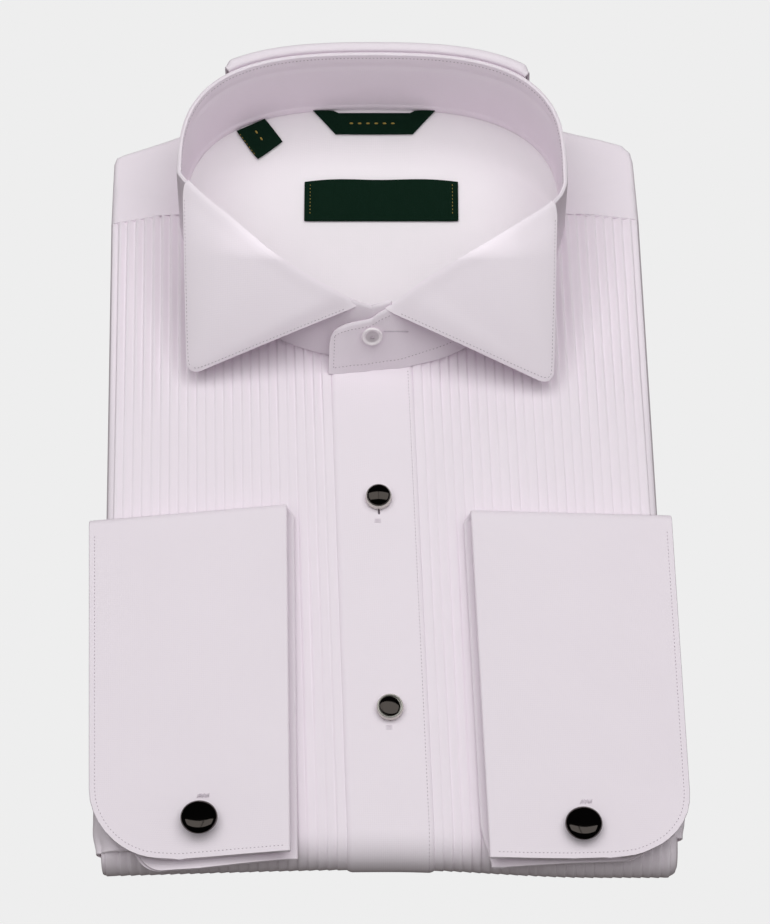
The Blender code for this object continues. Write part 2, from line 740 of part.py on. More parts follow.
def yoke_rows():
    """Rows of the yoke from the left seam round the back to the right seam."""
    rows = []
    for row in YOKE:
        outer = Vector((side_x(row["left_y"], -1) + row["inset"], row["left_y"], 0))
        rows.append((outer, row["turn"], row["fold"]))
    for row in reversed(YOKE[:-1]):
        outer = Vector((side_x(row["right_y"], 1) - row["inset"], row["right_y"], 0))
        rows.append((outer, 360 - row["turn"], row["fold"]))
    return rows


def make_yoke(look):
    grid = []
    for outer, turn, fold in yoke_rows():
        base = oval_point(BASE_SIZE, BASE_ROUNDNESS, turn, NECK_SEAM_HALF)
        if turn in (90, 270):
            base.y = YOKE_SEAM_Y["neck"] + GAP
        way = (outer - base).normalized()
        reach = (outer - base).length
        radius = (fold - YOKE_WALL) / 2
        fold_z = YOKE_UNDER_Z + fold / 2
        top = NECK_TOP_Z - YOKE_WALL / 2
        turn_start = reach - fold / 2
        flat = [0.0, 0.35, 0.7, 1.0]
        path = [(turn_start * share, top + (fold_z + radius - top) * smooth(share)) for share in flat]
        for angle in (36, 72, 108, 144, 180):
            bend = math.radians(angle)
            path.append((turn_start + radius * math.sin(bend), fold_z + radius * math.cos(bend)))
        path.append((turn_start - YOKE_UNDER_TAIL, fold_z - radius))
        grid.append([base + way * distance + Vector((0, 0, z)) for distance, z in path])
    return thick_sheet("yoke", grid, YOKE_WALL, look)


def back_z(behind):
    """Top of the back inside the neck. Behind is the distance from the neck seam."""
    return BACK_Z + (NECK_TOP_Z - BACK_Z) * (1 - smooth(behind / BACK_RISE))


def back_edge(turn):
    return oval_point(BASE_SIZE, BASE_ROUNDNESS, turn, -NECK_SEAM_HALF)


def seam_distance(x, y):
    """Distance in Y from the back half of the neck seam."""
    reach = min(abs(x - NECK_X) / BASE_SIZE["half_width"], 1.0)
    power = BASE_ROUNDNESS["back"]
    edge_y = NECK_Y + BASE_SIZE["back"] * (1 - reach ** power) ** (1 / power)
    return max(edge_y - y, 0.0)


def make_back(look):
    """The inside of the back and yoke, seen through the neck."""
    turns = [row["turn"] for row in YOKE[1:]]
    turns += [360 - turn for turn in reversed(turns[:-1])]
    grid = []
    for turn in turns:
        edge = back_edge(turn)
        column = []
        for behind in BACK_ROWS:
            column.append(Vector((edge.x, edge.y - behind, back_z(behind) - BACK_WALL / 2)))
        for y in (BACK_MIDDLE_Y, BACK_FRONT_Y):
            column.append(Vector((edge.x, y, BACK_Z - BACK_WALL / 2)))
        grid.append(column)
    return thick_sheet("back", grid, BACK_WALL, look)


def on_back(x, y, lift):
    return Vector((x, y, back_z(seam_distance(x, y)) + lift))


def make_labels(look):
    lifts = {name: GAP + LABEL_WALL / 2 + extra for name, extra in LABEL_LIFT.items()}
    large = LABEL_LARGE
    grid = []
    for share in (0, 0.25, 0.5, 0.75, 1):
        x = large["left"] + (large["right"] - large["left"]) * share
        back_y = large["back"] + LABEL_BOW * math.sin(math.pi * share)
        grid.append([on_back(x, y, lifts["large"]) for y in (back_y, large["middle"], large["front"])])
    thick_sheet("label_large", grid, LABEL_WALL, look)
    neck = LABEL_NECK
    grid = []
    for share in (0, 0.2, 0.4, 0.6, 0.8, 1):
        back_x = neck["left"] + (neck["right"] - neck["left"]) * share
        front_x = neck["left"] + neck["mitre"]
        front_x += (neck["right"] - neck["left"] - 2 * neck["mitre"]) * share
        column = []
        for down in (0, 0.5, 1):
            x = back_x + (front_x - back_x) * down
            y = neck["back"] + (neck["front"] - neck["back"]) * down
            column.append(on_back(x, y, lifts["neck"]))
        grid.append(column)
    thick_sheet("label_neck", grid, LABEL_WALL, look)
    first, second, third, fourth = (Vector(corner) for corner in LABEL_SIZE)
    grid = []
    for share in (0, 0.5, 1):
        back_end, front_end = first.lerp(second, share), fourth.lerp(third, share)
        places = [back_end.lerp(front_end, down) for down in (0, 0.33, 0.66, 1)]
        grid.append([on_back(place.x, place.y, lifts["size"]) for place in places])
    thick_sheet("label_size", grid, LABEL_WALL, look)


# ---- sleeves and cuffs ----

def make_sleeve(side_name, look):
    side = -1 if side_name == "left" else 1
    rise = (SLEEVE_TOP_Z - SLEEVE_UNDER_Z) / 2
    grid = []
    for y in SLEEVE_ROWS_Y:
        edge = side_x(y, side) + side * (SLEEVE_CLEAR + SLEEVE_WALL / 2)
        bend = edge - side * SLEEVE_SWING
        column = [Vector((bend - side * SLEEVE_IN_CUFF, y, SLEEVE_TOP_Z))]
        for angle in range(0, 181, 20):
            swing = math.radians(angle)
            x = bend + side * SLEEVE_SWING * signed_power(math.sin(swing), SLEEVE_SQUARE)
            z = SLEEVE_UNDER_Z + rise + rise * signed_power(math.cos(swing), SLEEVE_SQUARE)
            slope = SLEEVE_END_SLOPE[side_name] if y == SLEEVE_ROWS_Y[0] else 0.0
            slope *= smooth((SLEEVE_SLOPE_FADE["until"] - angle) / SLEEVE_SLOPE_FADE["over"])
            longer = slope * math.sin(swing)
            column.append(Vector((x, y - longer, z)))
        column.append(Vector((bend - side * SLEEVE_UNDER_TAIL, y, SLEEVE_UNDER_Z)))
        grid.append(column if side > 0 else column[::-1])
    return thick_sheet(f"sleeve_{side_name}", grid, SLEEVE_WALL, look)


def cuff_plan(cuff, across, along):
    """Plan point of a cuff: across from its outer edge to its fold, along from bottom to top."""
    top = Vector(cuff["outer_top"]).lerp(Vector(cuff["inner_top"]), across)
    bottom = Vector(cuff["outer_bottom"]).lerp(Vector(cuff["inner_bottom"]), across)
    point = bottom.lerp(top, along)
    return Vector((point.x, point.y, 0))


def cuff_rows(cuff):
    """Rows round the cuff's loop: along, loop turn, and its outer and inner edge as shares
    across."""
    width = (Vector(cuff["outer_top"]) - Vector(cuff["inner_top"])).length
    length = (Vector(cuff["outer_top"]) - Vector(cuff["outer_bottom"])).length
    last = 1 - (CUFF_LOOP + CUFF_LAYER + CUFF_WALL / 2) / length
    inset = CUFF_UNDER_INSET / width
    wider = CUFF_UNDER_WIDER / width
    rows = []
    for angle in (0, 20, 40, 60, 90):
        swing = math.radians(angle)
        along = CUFF_CORNER * (1 - math.cos(swing)) / length
        rows.append((along, 0, CUFF_CORNER * (1 - math.sin(swing)) / width, 1.0))
    rows.append((0.6, 0, 0.0, 1.0))
    for turn in (0, 36, 72, 108, 144, 180):
        under = smooth((turn - 90) / 90)
        rows.append((last, turn, inset * under, 1 + wider * under))
    rows.append((0.6, 180, inset, 1 + wider))
    longer = CUFF_UNDER_LONGER / length
    for angle in (90, 60, 40, 20, 0):
        swing = math.radians(angle)
        along = CUFF_UNDER_CORNER * (1 - math.cos(swing)) / length - longer
        rows.append((along, 180, inset + CUFF_UNDER_CORNER * (1 - math.sin(swing)) / width, 1 + wider))
    return rows


def make_cuff(side_name, look):
    """A double cuff: a loop with kissing ends, turned back on itself at its inner edge."""
    cuff = CUFFS[side_name]
    side = -1 if side_name == "left" else 1
    width = (Vector(cuff["outer_top"]) - Vector(cuff["inner_top"])).length
    layers = [(0.0, CUFF_LAYER), (0.4, CUFF_LAYER), (0.8, CUFF_LAYER), (1.0, CUFF_LAYER)]
    layers += [(1 + CUFF_LAYER * math.sin(math.radians(angle)) / width,
                CUFF_LAYER * math.cos(math.radians(angle))) for angle in (45, 90, 135)]
    layers += [(1.0, -CUFF_LAYER), (0.5, -CUFF_LAYER), (0.02, -CUFF_LAYER)]
    grid = []
    for along, turn, edge, fold_edge in cuff_rows(cuff):
        swing = math.radians(turn)
        row = []
        for share, out in layers:
            across = edge + (fold_edge - edge) * min(share, 1) + max(share - 1, 0)
            point = cuff_plan(cuff, across, along)
            up = (cuff_plan(cuff, across, 1) - cuff_plan(cuff, across, 0)).normalized()
            point += up * (CUFF_LOOP + out) * math.sin(swing)
            point.z = CUFF_MIDDLE_Z + (CUFF_LOOP + out) * math.cos(swing)
            row.append(point)
        grid.append(row if side < 0 else row[::-1])
    return thick_sheet(f"cuff_{side_name}", grid, CUFF_WALL, look)


# ---- studs, links and button ----

def place_round_pieces():
    black = material("black_enamel")
    silver = material("silver")
    for side_name, cuff in CUFFS.items():
        link = turned(f"cufflink_{side_name}", LINK_PROFILE, black)
        cuff_top = CUFF_MIDDLE_Z + CUFF_LOOP + CUFF_LAYER + CUFF_WALL / 2
        link.location = Vector((*cuff["link"], cuff_top + GAP)) * MM
    for level, (x, y) in STUDS.items():
        seat = top_z(y) + PLACKET_PROUD + GAP
        for name, profile, look in (("rim", STUD_RIM_PROFILE, silver),
                                    ("face", STUD_FACE_PROFILE, black)):
            piece = turned(f"stud_{level}_{name}", profile, look)
            piece.location = Vector((x, y, seat)) * MM
    button = turned("collar_button", BUTTON_PROFILE, material("button_white"))
    out = collar_normal(BUTTON_TURN, BUTTON_HEIGHT)
    seat = collar_point(BUTTON_TURN, BUTTON_HEIGHT) + out * (COLLAR_WALL / 2 + GAP)
    seat.x = BUTTON_X
    tilt = Vector((0, 0, 1)).rotation_difference(out).to_matrix().to_4x4()
    button.matrix_world = Matrix.Translation(seat * MM) @ tilt


def main():
    for old in list(bpy.data.objects):
        bpy.data.objects.remove(old, do_unlink=True)
    cotton = material("white_cotton")
    folded = material("white_cotton_folded")
    green = material("label_green")
    for side_name in ("left", "right"):
        make_front(side_name, cotton)
        make_wing(side_name, cotton)
        make_sleeve(side_name, cotton)
        make_cuff(side_name, cotton)
    make_placket(cotton)
    make_hidden_layers(folded)
    make_sleeve_layers(folded)
    make_stand(cotton)
    make_flap(cotton)
    make_yoke(cotton)
    make_back(cotton)
    make_labels(green)
    place_round_pieces()


main()
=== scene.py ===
import math

import bpy
from mathutils import Matrix, Vector, noise


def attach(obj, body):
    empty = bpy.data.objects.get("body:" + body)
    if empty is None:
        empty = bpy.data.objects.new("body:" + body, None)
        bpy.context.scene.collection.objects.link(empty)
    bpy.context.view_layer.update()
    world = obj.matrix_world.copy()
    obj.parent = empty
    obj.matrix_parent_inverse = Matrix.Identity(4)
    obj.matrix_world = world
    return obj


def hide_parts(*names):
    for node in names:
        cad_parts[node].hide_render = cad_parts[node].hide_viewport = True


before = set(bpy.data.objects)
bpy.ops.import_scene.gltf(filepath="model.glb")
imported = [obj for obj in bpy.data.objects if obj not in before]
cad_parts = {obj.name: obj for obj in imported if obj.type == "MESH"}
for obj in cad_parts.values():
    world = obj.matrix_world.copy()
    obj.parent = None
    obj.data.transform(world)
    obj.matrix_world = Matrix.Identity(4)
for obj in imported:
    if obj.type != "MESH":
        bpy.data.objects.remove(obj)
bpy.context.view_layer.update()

# Sizes are in millimetres up to the moment a mesh is made. Left and right are the viewer's.
mm = 0.001
skyward = Vector((0, 0, 1))

studio = {
    "elevation": 65.0, "distance": 1.35, "targetZ": 0.020, "lens": 127.29,
    "floorSize": 30.0, "worldStrength": 0.2, "lightColour": (0.95, 1.0, 0.955),
}
# Of the lamps, only the two panes show as reflections on the studs and links.
lamps = {
    "softboxOver": {"at": (0, 0.02, 1.6), "size": (2.6, 1.9), "aim": (0, 0, 0), "power": 22.1,
                    "mirrored": False},
    "paneLeft": {"at": (-0.67, 0.6, 1.8), "size": (1.3, 0.95), "aim": (-0.67, 0.6, 0), "power": 4.6,
                 "mirrored": True},
    "paneRight": {"at": (0.67, 0.6, 1.8), "size": (1.3, 0.95), "aim": (0.67, 0.6, 0), "power": 4.6,
                  "mirrored": True},
    "neckFill": {"at": (-0.005, 0.060, 0.074), "size": (0.11, 0.02), "aim": (-0.005, 0.160, 0.158),
                 "power": 0.034, "mirrored": False},
}


def aim(thing, target):
    away = Vector(target) - thing.location
    thing.rotation_euler = away.to_track_quat("-Z", "Y").to_euler()


def addCamera():
    angle = math.radians(studio["elevation"])
    data = bpy.data.cameras.new("camera")
    camera = bpy.data.objects.new("camera", data)
    bpy.context.collection.objects.link(camera)
    data.lens = studio["lens"]
    data.sensor_width = 36
    target = Vector((0, 0, studio["targetZ"]))
    camera.location = target + Vector((0, -math.cos(angle), math.sin(angle))) * studio["distance"]
    camera.rotation_euler = (math.pi / 2 - angle, 0, 0)
    bpy.context.scene.camera = camera


def addLamps():
    for name, lamp in lamps.items():
        data = bpy.data.lights.new(name, "AREA")
        data.shape = "RECTANGLE"
        data.size, data.size_y = lamp["size"]
        data.energy = lamp["power"]
        data.color = studio["lightColour"]
        made = bpy.data.objects.new(name, data)
        bpy.context.collection.objects.link(made)
        made.location = lamp["at"]
        made.visible_glossy = lamp["mirrored"]
        made.visible_camera = False
        aim(made, lamp["aim"])
    world = bpy.data.worlds.new("studio")
    world.use_nodes = True
    sky = world.node_tree.nodes["Background"].inputs
    sky["Strength"].default_value = studio["worldStrength"]
    sky["Color"].default_value = (*studio["lightColour"], 1)
    world.cycles_visibility.glossy = False  # so that the fastenings do not mirror the sky
    bpy.context.scene.world = world
    bpy.context.scene.view_settings.view_transform = "Standard"


addCamera()
addLamps()
print("studio ready")


def linear(code):  # sRGB hex to linear
    values = [int(code[place:place + 2], 16) / 255 for place in (1, 3, 5)]
    return [v / 12.92 if v <= 0.04045 else ((v + 0.055) / 1.055) ** 2.4 for v in values] + [1]


def addNode(tree, kind, settings=None, values=None, links=None):
    made = tree.nodes.new(kind)
    for key, value in (settings or {}).items():
        setattr(made, key, value)
    for key, value in (values or {}).items():
        made.inputs[key].default_value = value
    for key, source in (links or {}).items():
        tree.links.new(source, made.inputs[key])
    return made


def newMaterial(name, values):
    made = bpy.data.materials.new(name)
    made.use_nodes = True
    shader = made.node_tree.nodes["Principled BSDF"]
    for key, value in values.items():
        shader.inputs[key].default_value = value
    return made, made.node_tree, shader


def mixAndRaise(tree, shader, colours, tint, height, bump, depth):
    # two close shades mixed by one pattern, and the surface raised by another
    dark, light = (linear(code) for code in colours)
    mixed = addNode(tree, "ShaderNodeMix", {"data_type": "RGBA"}, {6: dark, 7: light}, {"Factor": tint})
    relief = addNode(tree, "ShaderNodeBump", {}, {"Strength": bump, "Distance": depth}, {"Height": height})
    tree.links.new(mixed.outputs[2], shader.inputs["Base Color"])
    tree.links.new(relief.outputs["Normal"], shader.inputs["Normal"])


def clothMaterial(name, colours, roughness, sheen):
    # Bleached cotton, plain woven: matt, with a soft bloom at grazing angles. The yarns are about
    # 0.2 mm apart, and are drawn about 0.8 mm apart so that the weave still shows.
    made, tree, shader = newMaterial(name, {"Roughness": roughness, "Sheen Weight": sheen,
                                            "Sheen Roughness": 0.5, "Specular IOR Level": 0.25})
    uv = addNode(tree, "ShaderNodeUVMap", {"uv_map": "cloth"}).outputs["UV"]
    period = 0.314 / 0.75
    yarns = []
    for direction, scale in (("X", period), ("Y", period * 0.9)):
        yarns.append(addNode(tree, "ShaderNodeTexWave", {"wave_type": "BANDS", "bands_direction": direction},
                             {"Scale": scale, "Distortion": 0.6, "Detail": 1.0, "Detail Scale": 0.6},
                             {"Vector": uv}).outputs["Fac"])
    weave = addNode(tree, "ShaderNodeMath", {"operation": "ADD"}, links={0: yarns[0], 1: yarns[1]})
    slub = addNode(tree, "ShaderNodeTexNoise", {}, {"Scale": 0.35, "Detail": 4.0, "Roughness": 0.6},
                   {"Vector": uv})
    both = addNode(tree, "ShaderNodeMath", {"operation": "MULTIPLY_ADD"}, {1: 1.4},
                   {0: slub.outputs["Fac"], 2: weave.outputs[0]})
    tint = addNode(tree, "ShaderNodeTexNoise", {}, {"Scale": 0.03, "Detail": 3.0}, {"Vector": uv})
    mixAndRaise(tree, shader, colours, tint.outputs["Fac"], both.outputs[0], 0.10, 0.00012)
    return made


def ribbonMaterial(name, colours):
    # Woven polyester ribbon: close ribs across it, 0.8 mm apart, and a low satin shine.
    made, tree, shader = newMaterial(name, {"Roughness": 0.62, "Specular IOR Level": 0.05})
    uv = addNode(tree, "ShaderNodeUVMap", {"uv_map": "cloth"}).outputs["UV"]
    ribs = addNode(tree, "ShaderNodeTexWave", {"wave_type": "BANDS", "bands_direction": "Y"},
                   {"Scale": 0.314 / 0.8, "Distortion": 0.4}, {"Vector": uv})
    fleck = addNode(tree, "ShaderNodeTexNoise", {}, {"Scale": 1.5, "Detail": 3.0}, {"Vector": uv})
    mixAndRaise(tree, shader, colours, fleck.outputs["Fac"], ribs.outputs["Fac"], 0.4, 0.00008)
    return made


def solidMaterial(name, colours, roughness, grain, values=None):
    made, tree, shader = newMaterial(name, {"Roughness": roughness, **(values or {})})
    place = addNode(tree, "ShaderNodeTexCoord")
    mottle = addNode(tree, "ShaderNodeTexNoise", {}, {"Scale": grain, "Detail": 3.0},
                     {"Vector": place.outputs["Object"]}).outputs["Fac"]
    mixAndRaise(tree, shader, colours, mottle, mottle, 0.03, 0.00002)
    return made


def buttonMaterial(centre):
    # Turned polyester resin: a pearly rim in the resin's own near-white, and a dish given a darker colour as
    # painted shade in its hollow.
    made = solidMaterial("polyesterButtonResin", ("#c9bcc5", "#d8cbd4"), 0.28, 250, {"Coat Weight": 0.4})
    tree = made.node_tree
    shader = tree.nodes["Principled BSDF"]
    dishShade = shader.inputs["Base Color"].links[0].from_socket
    place = addNode(tree, "ShaderNodeTexCoord")
    reach = addNode(tree, "ShaderNodeVectorMath", {"operation": "DISTANCE"}, {1: centre},
                    {0: place.outputs["Object"]})
    rim = addNode(tree, "ShaderNodeMapRange", {}, {"From Min": 0.0027, "From Max": 0.0034},
                  {"Value": reach.outputs["Value"]})
    # the rim takes the resin's near-white; inside it the dish keeps its painted shade
    both = addNode(tree, "ShaderNodeMix", {"data_type": "RGBA"}, {7: linear("#f8ecf4")},
                   {"Factor": rim.outputs["Result"], 6: dishShade})
    tree.links.new(both.outputs[2], shader.inputs["Base Color"])
    return made


poplin = clothMaterial("cottonPoplin", ("#f0e2ee", "#f4e6f2"), 0.85, 0.05)
# a slightly darker copy of the poplin for the back inside the neck: painted shade that tones down how bright
# that floor renders
backPoplinShade = clothMaterial("backPoplinPaintedShade", ("#ebe2e9", "#efe6ed"), 0.85, 0.05)
# collar and cuffs, bonded to an interlining: smoother and stiffer
fusedPoplin = clothMaterial("fusedCottonPoplin", ("#eee0ec", "#f2e4f0"), 0.80, 0.04)
ribbon = ribbonMaterial("wovenRibbon", ("#06180f", "#0d251a"))
# flat metallised film wound on a core: a broken yellow glint
goldThread = solidMaterial("goldLurexThread", ("#8d7430", "#d3b25a"), 0.45, 900, {"Metallic": 0.3})
# spun sewing thread, matt, and darker than the cloth because it sits in its own shade
whiteThread = solidMaterial("spunCottonThread", ("#a898a5", "#bfb0bc"), 0.8, 900)
# painted shade: a dark bead along each buttonhole's slit, standing for the shade in the opening
slitShade = solidMaterial("buttonholeSlitShade", ("#5d525b", "#746872"), 0.9, 900)
# mercerised thread, smoother and brighter, for bar tacks and worked ends
tackThread = solidMaterial("mercerisedTackThread", ("#c9bcc8", "#ddd1dc"), 0.6, 900)
# fired enamel, ground and polished: deep black, with clear reflections
enamel = solidMaterial("blackEnamel", ("#040303", "#070606"), 0.06, 60,
                       {"Specular IOR Level": 0.9, "Specular Tint": linear("#ffebe6")})
# worn silver plate: bright, but less than a full mirror
silver = solidMaterial("silverPlate", ("#c6bfba", "#dcd6d2"), 0.24, 300, {"Metallic": 0.6})
# a dark matt table, which sends little light up at the shirt
darkTable = solidMaterial("darkTable", ("#4c4138", "#54483e"), 0.95, 2)
# white paper lit from below: even, and without shadows
paper = solidMaterial("litTable", ("#000000", "#010101"), 0.95, 2,
                      {"Emission Color": linear("#eeeeee"), "Emission Strength": 1.0,
                       "Specular IOR Level": 0.0})
paper.cycles.emission_sampling = "NONE"
print("materials ready")


# The surfaces that the pieces are laid on, close to those of the solids.
bodyPlan = {
    "halfWidth": 113.0, "thickness": 24.0, "bottomFoldY": -164.0, "tailEndY": 134.0,
    "seamNeckY": 118.5, "seamLeftY": 112.4, "seamRightY": 114.4, "seamStart": 82.0,
    "neckTopZ": 20.5, "fullTopY": -30.0, "sleeveSpace": 2.0, "centreX": -1.8, "centreLean": -0.0218,
    "gap": 0.3, "rise": {"most": 3.3, "middleX": 2.0, "left": 155.0, "right": 80.0},
}
middle = bodyPlan["thickness"] / 2


def smooth(value):
    value = min(max(value, 0.0), 1.0)
    return value * value * (3 - 2 * value)


def wander(*place):
    return noise.noise(Vector(place))


def centreX(y):
    return bodyPlan["centreX"] + bodyPlan["centreLean"] * y


def sideX(y, side):
    return centreX(y) + side * bodyPlan["halfWidth"]


def topZ(y):
    slope = min(max((y - bodyPlan["fullTopY"]) / (collarPlan["neckY"] - bodyPlan["fullTopY"]), 0), 1)
    return bodyPlan["thickness"] - (bodyPlan["thickness"] - bodyPlan["neckTopZ"]) * slope


def tableValue(table, turn):
    if turn <= table[0][0]:
        return table[0][1]
    for (lowTurn, low), (highTurn, high) in zip(table, table[1:]):
        if turn <= highTurn:
            return low + (high - low) * (turn - lowTurn) / (highTurn - lowTurn)
    return table[-1][1]


def bottomRise(x, y):
    rise = bodyPlan["rise"]
    out = x - rise["middleX"]
    reach = min(abs(out) / rise["left" if out < 0 else "right"], 1.0)
    down = (bodyPlan["fullTopY"] - y) / (bodyPlan["fullTopY"] - bodyPlan["bottomFoldY"])
    return rise["most"] * smooth(1 - reach) * min(max(down, 0.0), 1.0)


def onFold(x, height, y, turn):
    angle = math.radians(turn)
    y += bottomRise(x, y)
    return Vector((x, y - height * math.sin(angle), middle + height * math.cos(angle)))


def seamY(x):
    sideY = bodyPlan["seamLeftY"] if x < collarPlan["neckX"] else bodyPlan["seamRightY"]
    out = (abs(x - collarPlan["neckX"]) - bodyPlan["seamStart"])
    out /= bodyPlan["halfWidth"] - bodyPlan["seamStart"]
    return bodyPlan["seamNeckY"] + (sideY - bodyPlan["seamNeckY"]) * min(max(out, 0), 1)


collarPlan = {
    "neckX": -5.4, "neckY": 115.0,
    "base": {"half": 81.5, "front": 72.0, "back": 55.0, "frontPower": 1.72, "backPower": 2.7},
    "rim": {"half": 80.6, "front": 58.5, "back": 53.8, "frontPower": 1.18, "backPower": 3.0},
    "rimHeight": [(0, 47.5), (10, 49.3), (20, 51.0), (30, 53.6), (40, 55.4), (55, 57.6), (70, 58.8),
                  (90, 59.6), (105, 60.8), (140, 64.0), (180, 66.0)],
    # turn, and how far back from its oval; minus turns are on the right
    "rimBack": [(-105, 0.0), (-92, -3.5), (-80, -7.5), (-70, -7.8), (-60, -5.4), (-50, -3.5), (-40, -2.2),
                (-30, -0.8), (-20, 0.0), (10, 0.0), (22, -1.2), (36, -1.6), (54, 0.0)],
    "seamBack": [(-75, 0.0), (-60, -1.0), (-45, -2.0), (-29, -2.9), (-20, -2.3), (-6, 2.4), (0, 2.8),
                 (16, 3.2), (30, 1.5), (45, 0.6), (60, 0.3), (75, 0.0)],
    "overEndBack": [(338, -2.4), (346, -0.1), (353, 1.6), (360, 1.5), (368, -0.3), (376, -3.7)],
    "wall": 2.0, "underEnd": -9.5, "overEnd": 375.5, "step": 2.4, "stepFrom": 338, "stepOver": 14,
    "spread": 0.55, "spreadTurn": 60, "softFront": 1.5, "softOver": 12,
    "endRound": 22.0, "endHeight": 0.5, "endDip": 0.08,
}


def signedPower(value, power):
    return math.copysign(abs(value) ** power, value)


def ovalPoint(oval, turn, out=0.0):
    angle = math.radians(turn)
    end = "front" if math.cos(angle) > 0 else "back"
    power = 2 / oval[end + "Power"]
    across = -(oval["half"] + out) * signedPower(math.sin(angle), power)
    along = -(oval[end] + out) * signedPower(math.cos(angle), power)
    return Vector((collarPlan["neckX"] + across, collarPlan["neckY"] + along, 0))


def rimZ(turn):
    return tableValue(collarPlan["rimHeight"], abs((turn + 180) % 360 - 180))


def collarPoint(turn, height, out=0.0):
    plan = collarPlan
    step = plan["step"] * smooth((turn - plan["stepFrom"]) / plan["stepOver"])
    base = ovalPoint(plan["base"], turn, out + step)
    folded = (turn + 180) % 360 - 180
    ahead = plan["spread"] * folded * (1 - smooth(abs(folded) / plan["spreadTurn"]))
    rim = ovalPoint(plan["rim"], turn + ahead, out + step)
    rim.y += plan["softFront"] * (1 - smooth(abs(folded) / plan["softOver"]))
    rim.y += tableValue(plan["rimBack"], folded)
    if turn > plan["overEndBack"][0][0]:
        base.y += tableValue(plan["overEndBack"], turn)
    else:
        base.y += tableValue(plan["seamBack"], folded)
    base.z = topZ(base.y) + bodyPlan["gap"]
    rim.z = rimZ(turn)
    return base.lerp(rim, height)


def collarNormal(turn, height):
    across = collarPoint(turn + 1.5, height) - collarPoint(turn - 1.5, height)
    along = collarPoint(turn, height + 0.05) - collarPoint(turn, height - 0.05)
    return along.cross(across).normalized()


def flatNormal(turn, height):
    out = collarNormal(turn, height)
    out.z = 0
    return out.normalized()


def finishPiece(made, look, nodes):
    made.data.materials.append(look)
    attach(made, "root")
    if nodes:
        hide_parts(*nodes)
    return made


def addMesh(name, points, faces, uvs=None, sharpAngle=42):
    mesh = bpy.data.meshes.new(name)
    mesh.from_pydata([tuple(point * mm) for point in points], [], faces)
    if uvs:
        layer = mesh.uv_layers.new(name="cloth")
        flat = []
        for loop in mesh.loops:
            flat.extend(uvs[loop.vertex_index])
        layer.data.foreach_set("uv", flat)
    mesh.shade_smooth()
    mesh.set_sharp_from_angle(angle=math.radians(sharpAngle))
    made = bpy.data.objects.new(name, mesh)
    bpy.context.collection.objects.link(made)
    return made


# two grids of points joined into one wall, with rounded edges
def clothWall(name, outer, inner, softEdge=0.32, sharpAngle=42):
    rows, columns = len(outer), len(outer[0])
    points = [point for row in outer for point in row] + [point for row in inner for point in row]
    under = rows * columns
    across, along = [0.0], [0.0]
    for column in range(1, columns):
        step = (outer[rows // 2][column] - outer[rows // 2][column - 1]).length
        across.append(across[-1] + step)
    for row in range(1, rows):
        along.append(along[-1] + (outer[row][columns // 2] - outer[row - 1][columns // 2]).length)
    uvs = [(across[column], along[row]) for row in range(rows) for column in range(columns)] * 2
    faces = []
    for row in range(rows - 1):
        for column in range(columns - 1):
            corner = row * columns + column
            loop = (corner, corner + 1, corner + columns + 1, corner + columns)
            faces.append(loop)
            faces.append(tuple(under + place for place in reversed(loop)))
    edge = [(0, column) for column in range(columns)]
    edge += [(row, columns - 1) for row in range(1, rows)]
    edge += [(rows - 1, column) for column in range(columns - 2, -1, -1)]
    edge += [(row, 0) for row in range(rows - 2, 0, -1)]
    ring = []
    for row, column in edge:
        inRow = row + (1 if row == 0 else -1 if row == rows - 1 else 0)
        inColumn = column + (1 if column == 0 else -1 if column == columns - 1 else 0)
        here = (outer[row][column] + inner[row][column]) / 2
        near = (outer[inRow][inColumn] + inner[inRow][inColumn]) / 2
        wall = (outer[row][column] - inner[row][column]).length
        ring.append(len(points))
        points.append(here + (here - near).normalized() * wall * softEdge)
        uvs.append(uvs[row * columns + column])
    corners = [row * columns + column for row, column in edge]
    for place in range(len(edge)):
        after = (place + 1) % len(edge)
        here, there = corners[place], corners[after]
        faces.append((there, here, ring[place], ring[after]))
        faces.append((ring[after], ring[place], under + here, under + there))
    return addMesh(name, points, faces, uvs, sharpAngle)


def gridNormals(grid):
    rows, columns = len(grid), len(grid[0])
    normals = []
    for row in range(rows):
        normals.append([])
        for column in range(columns):
            across = grid[row][min(column + 1, columns - 1)] - grid[row][max(column - 1, 0)]
            along = grid[min(row + 1, rows - 1)][column] - grid[max(row - 1, 0)][column]
            normals[-1].append(across.cross(along).normalized())
    return normals


def clothSheet(name, grid, wall, softEdge=0.32, sharpAngle=42):
    normals = gridNormals(grid)
    outer = [[point + out * wall / 2 for point, out in zip(*pair)] for pair in zip(grid, normals)]
    inner = [[point - out * wall / 2 for point, out in zip(*pair)] for pair in zip(grid, normals)]
    return clothWall(name, outer, inner, softEdge, sharpAngle)


def between(start, end, count):
    return [start + (end - start) * step / count for step in range(count + 1)]


seamThread = {"stitch": 0.8, "space": 0.75, "radius": 0.13}
# share along one stitch, and its thickness and lift in thread radii
beadShape = [(0.0, 0.35, -0.5), (0.25, 1.0, 0.3), (0.75, 1.0, 0.3), (1.0, 0.35, -0.5)]


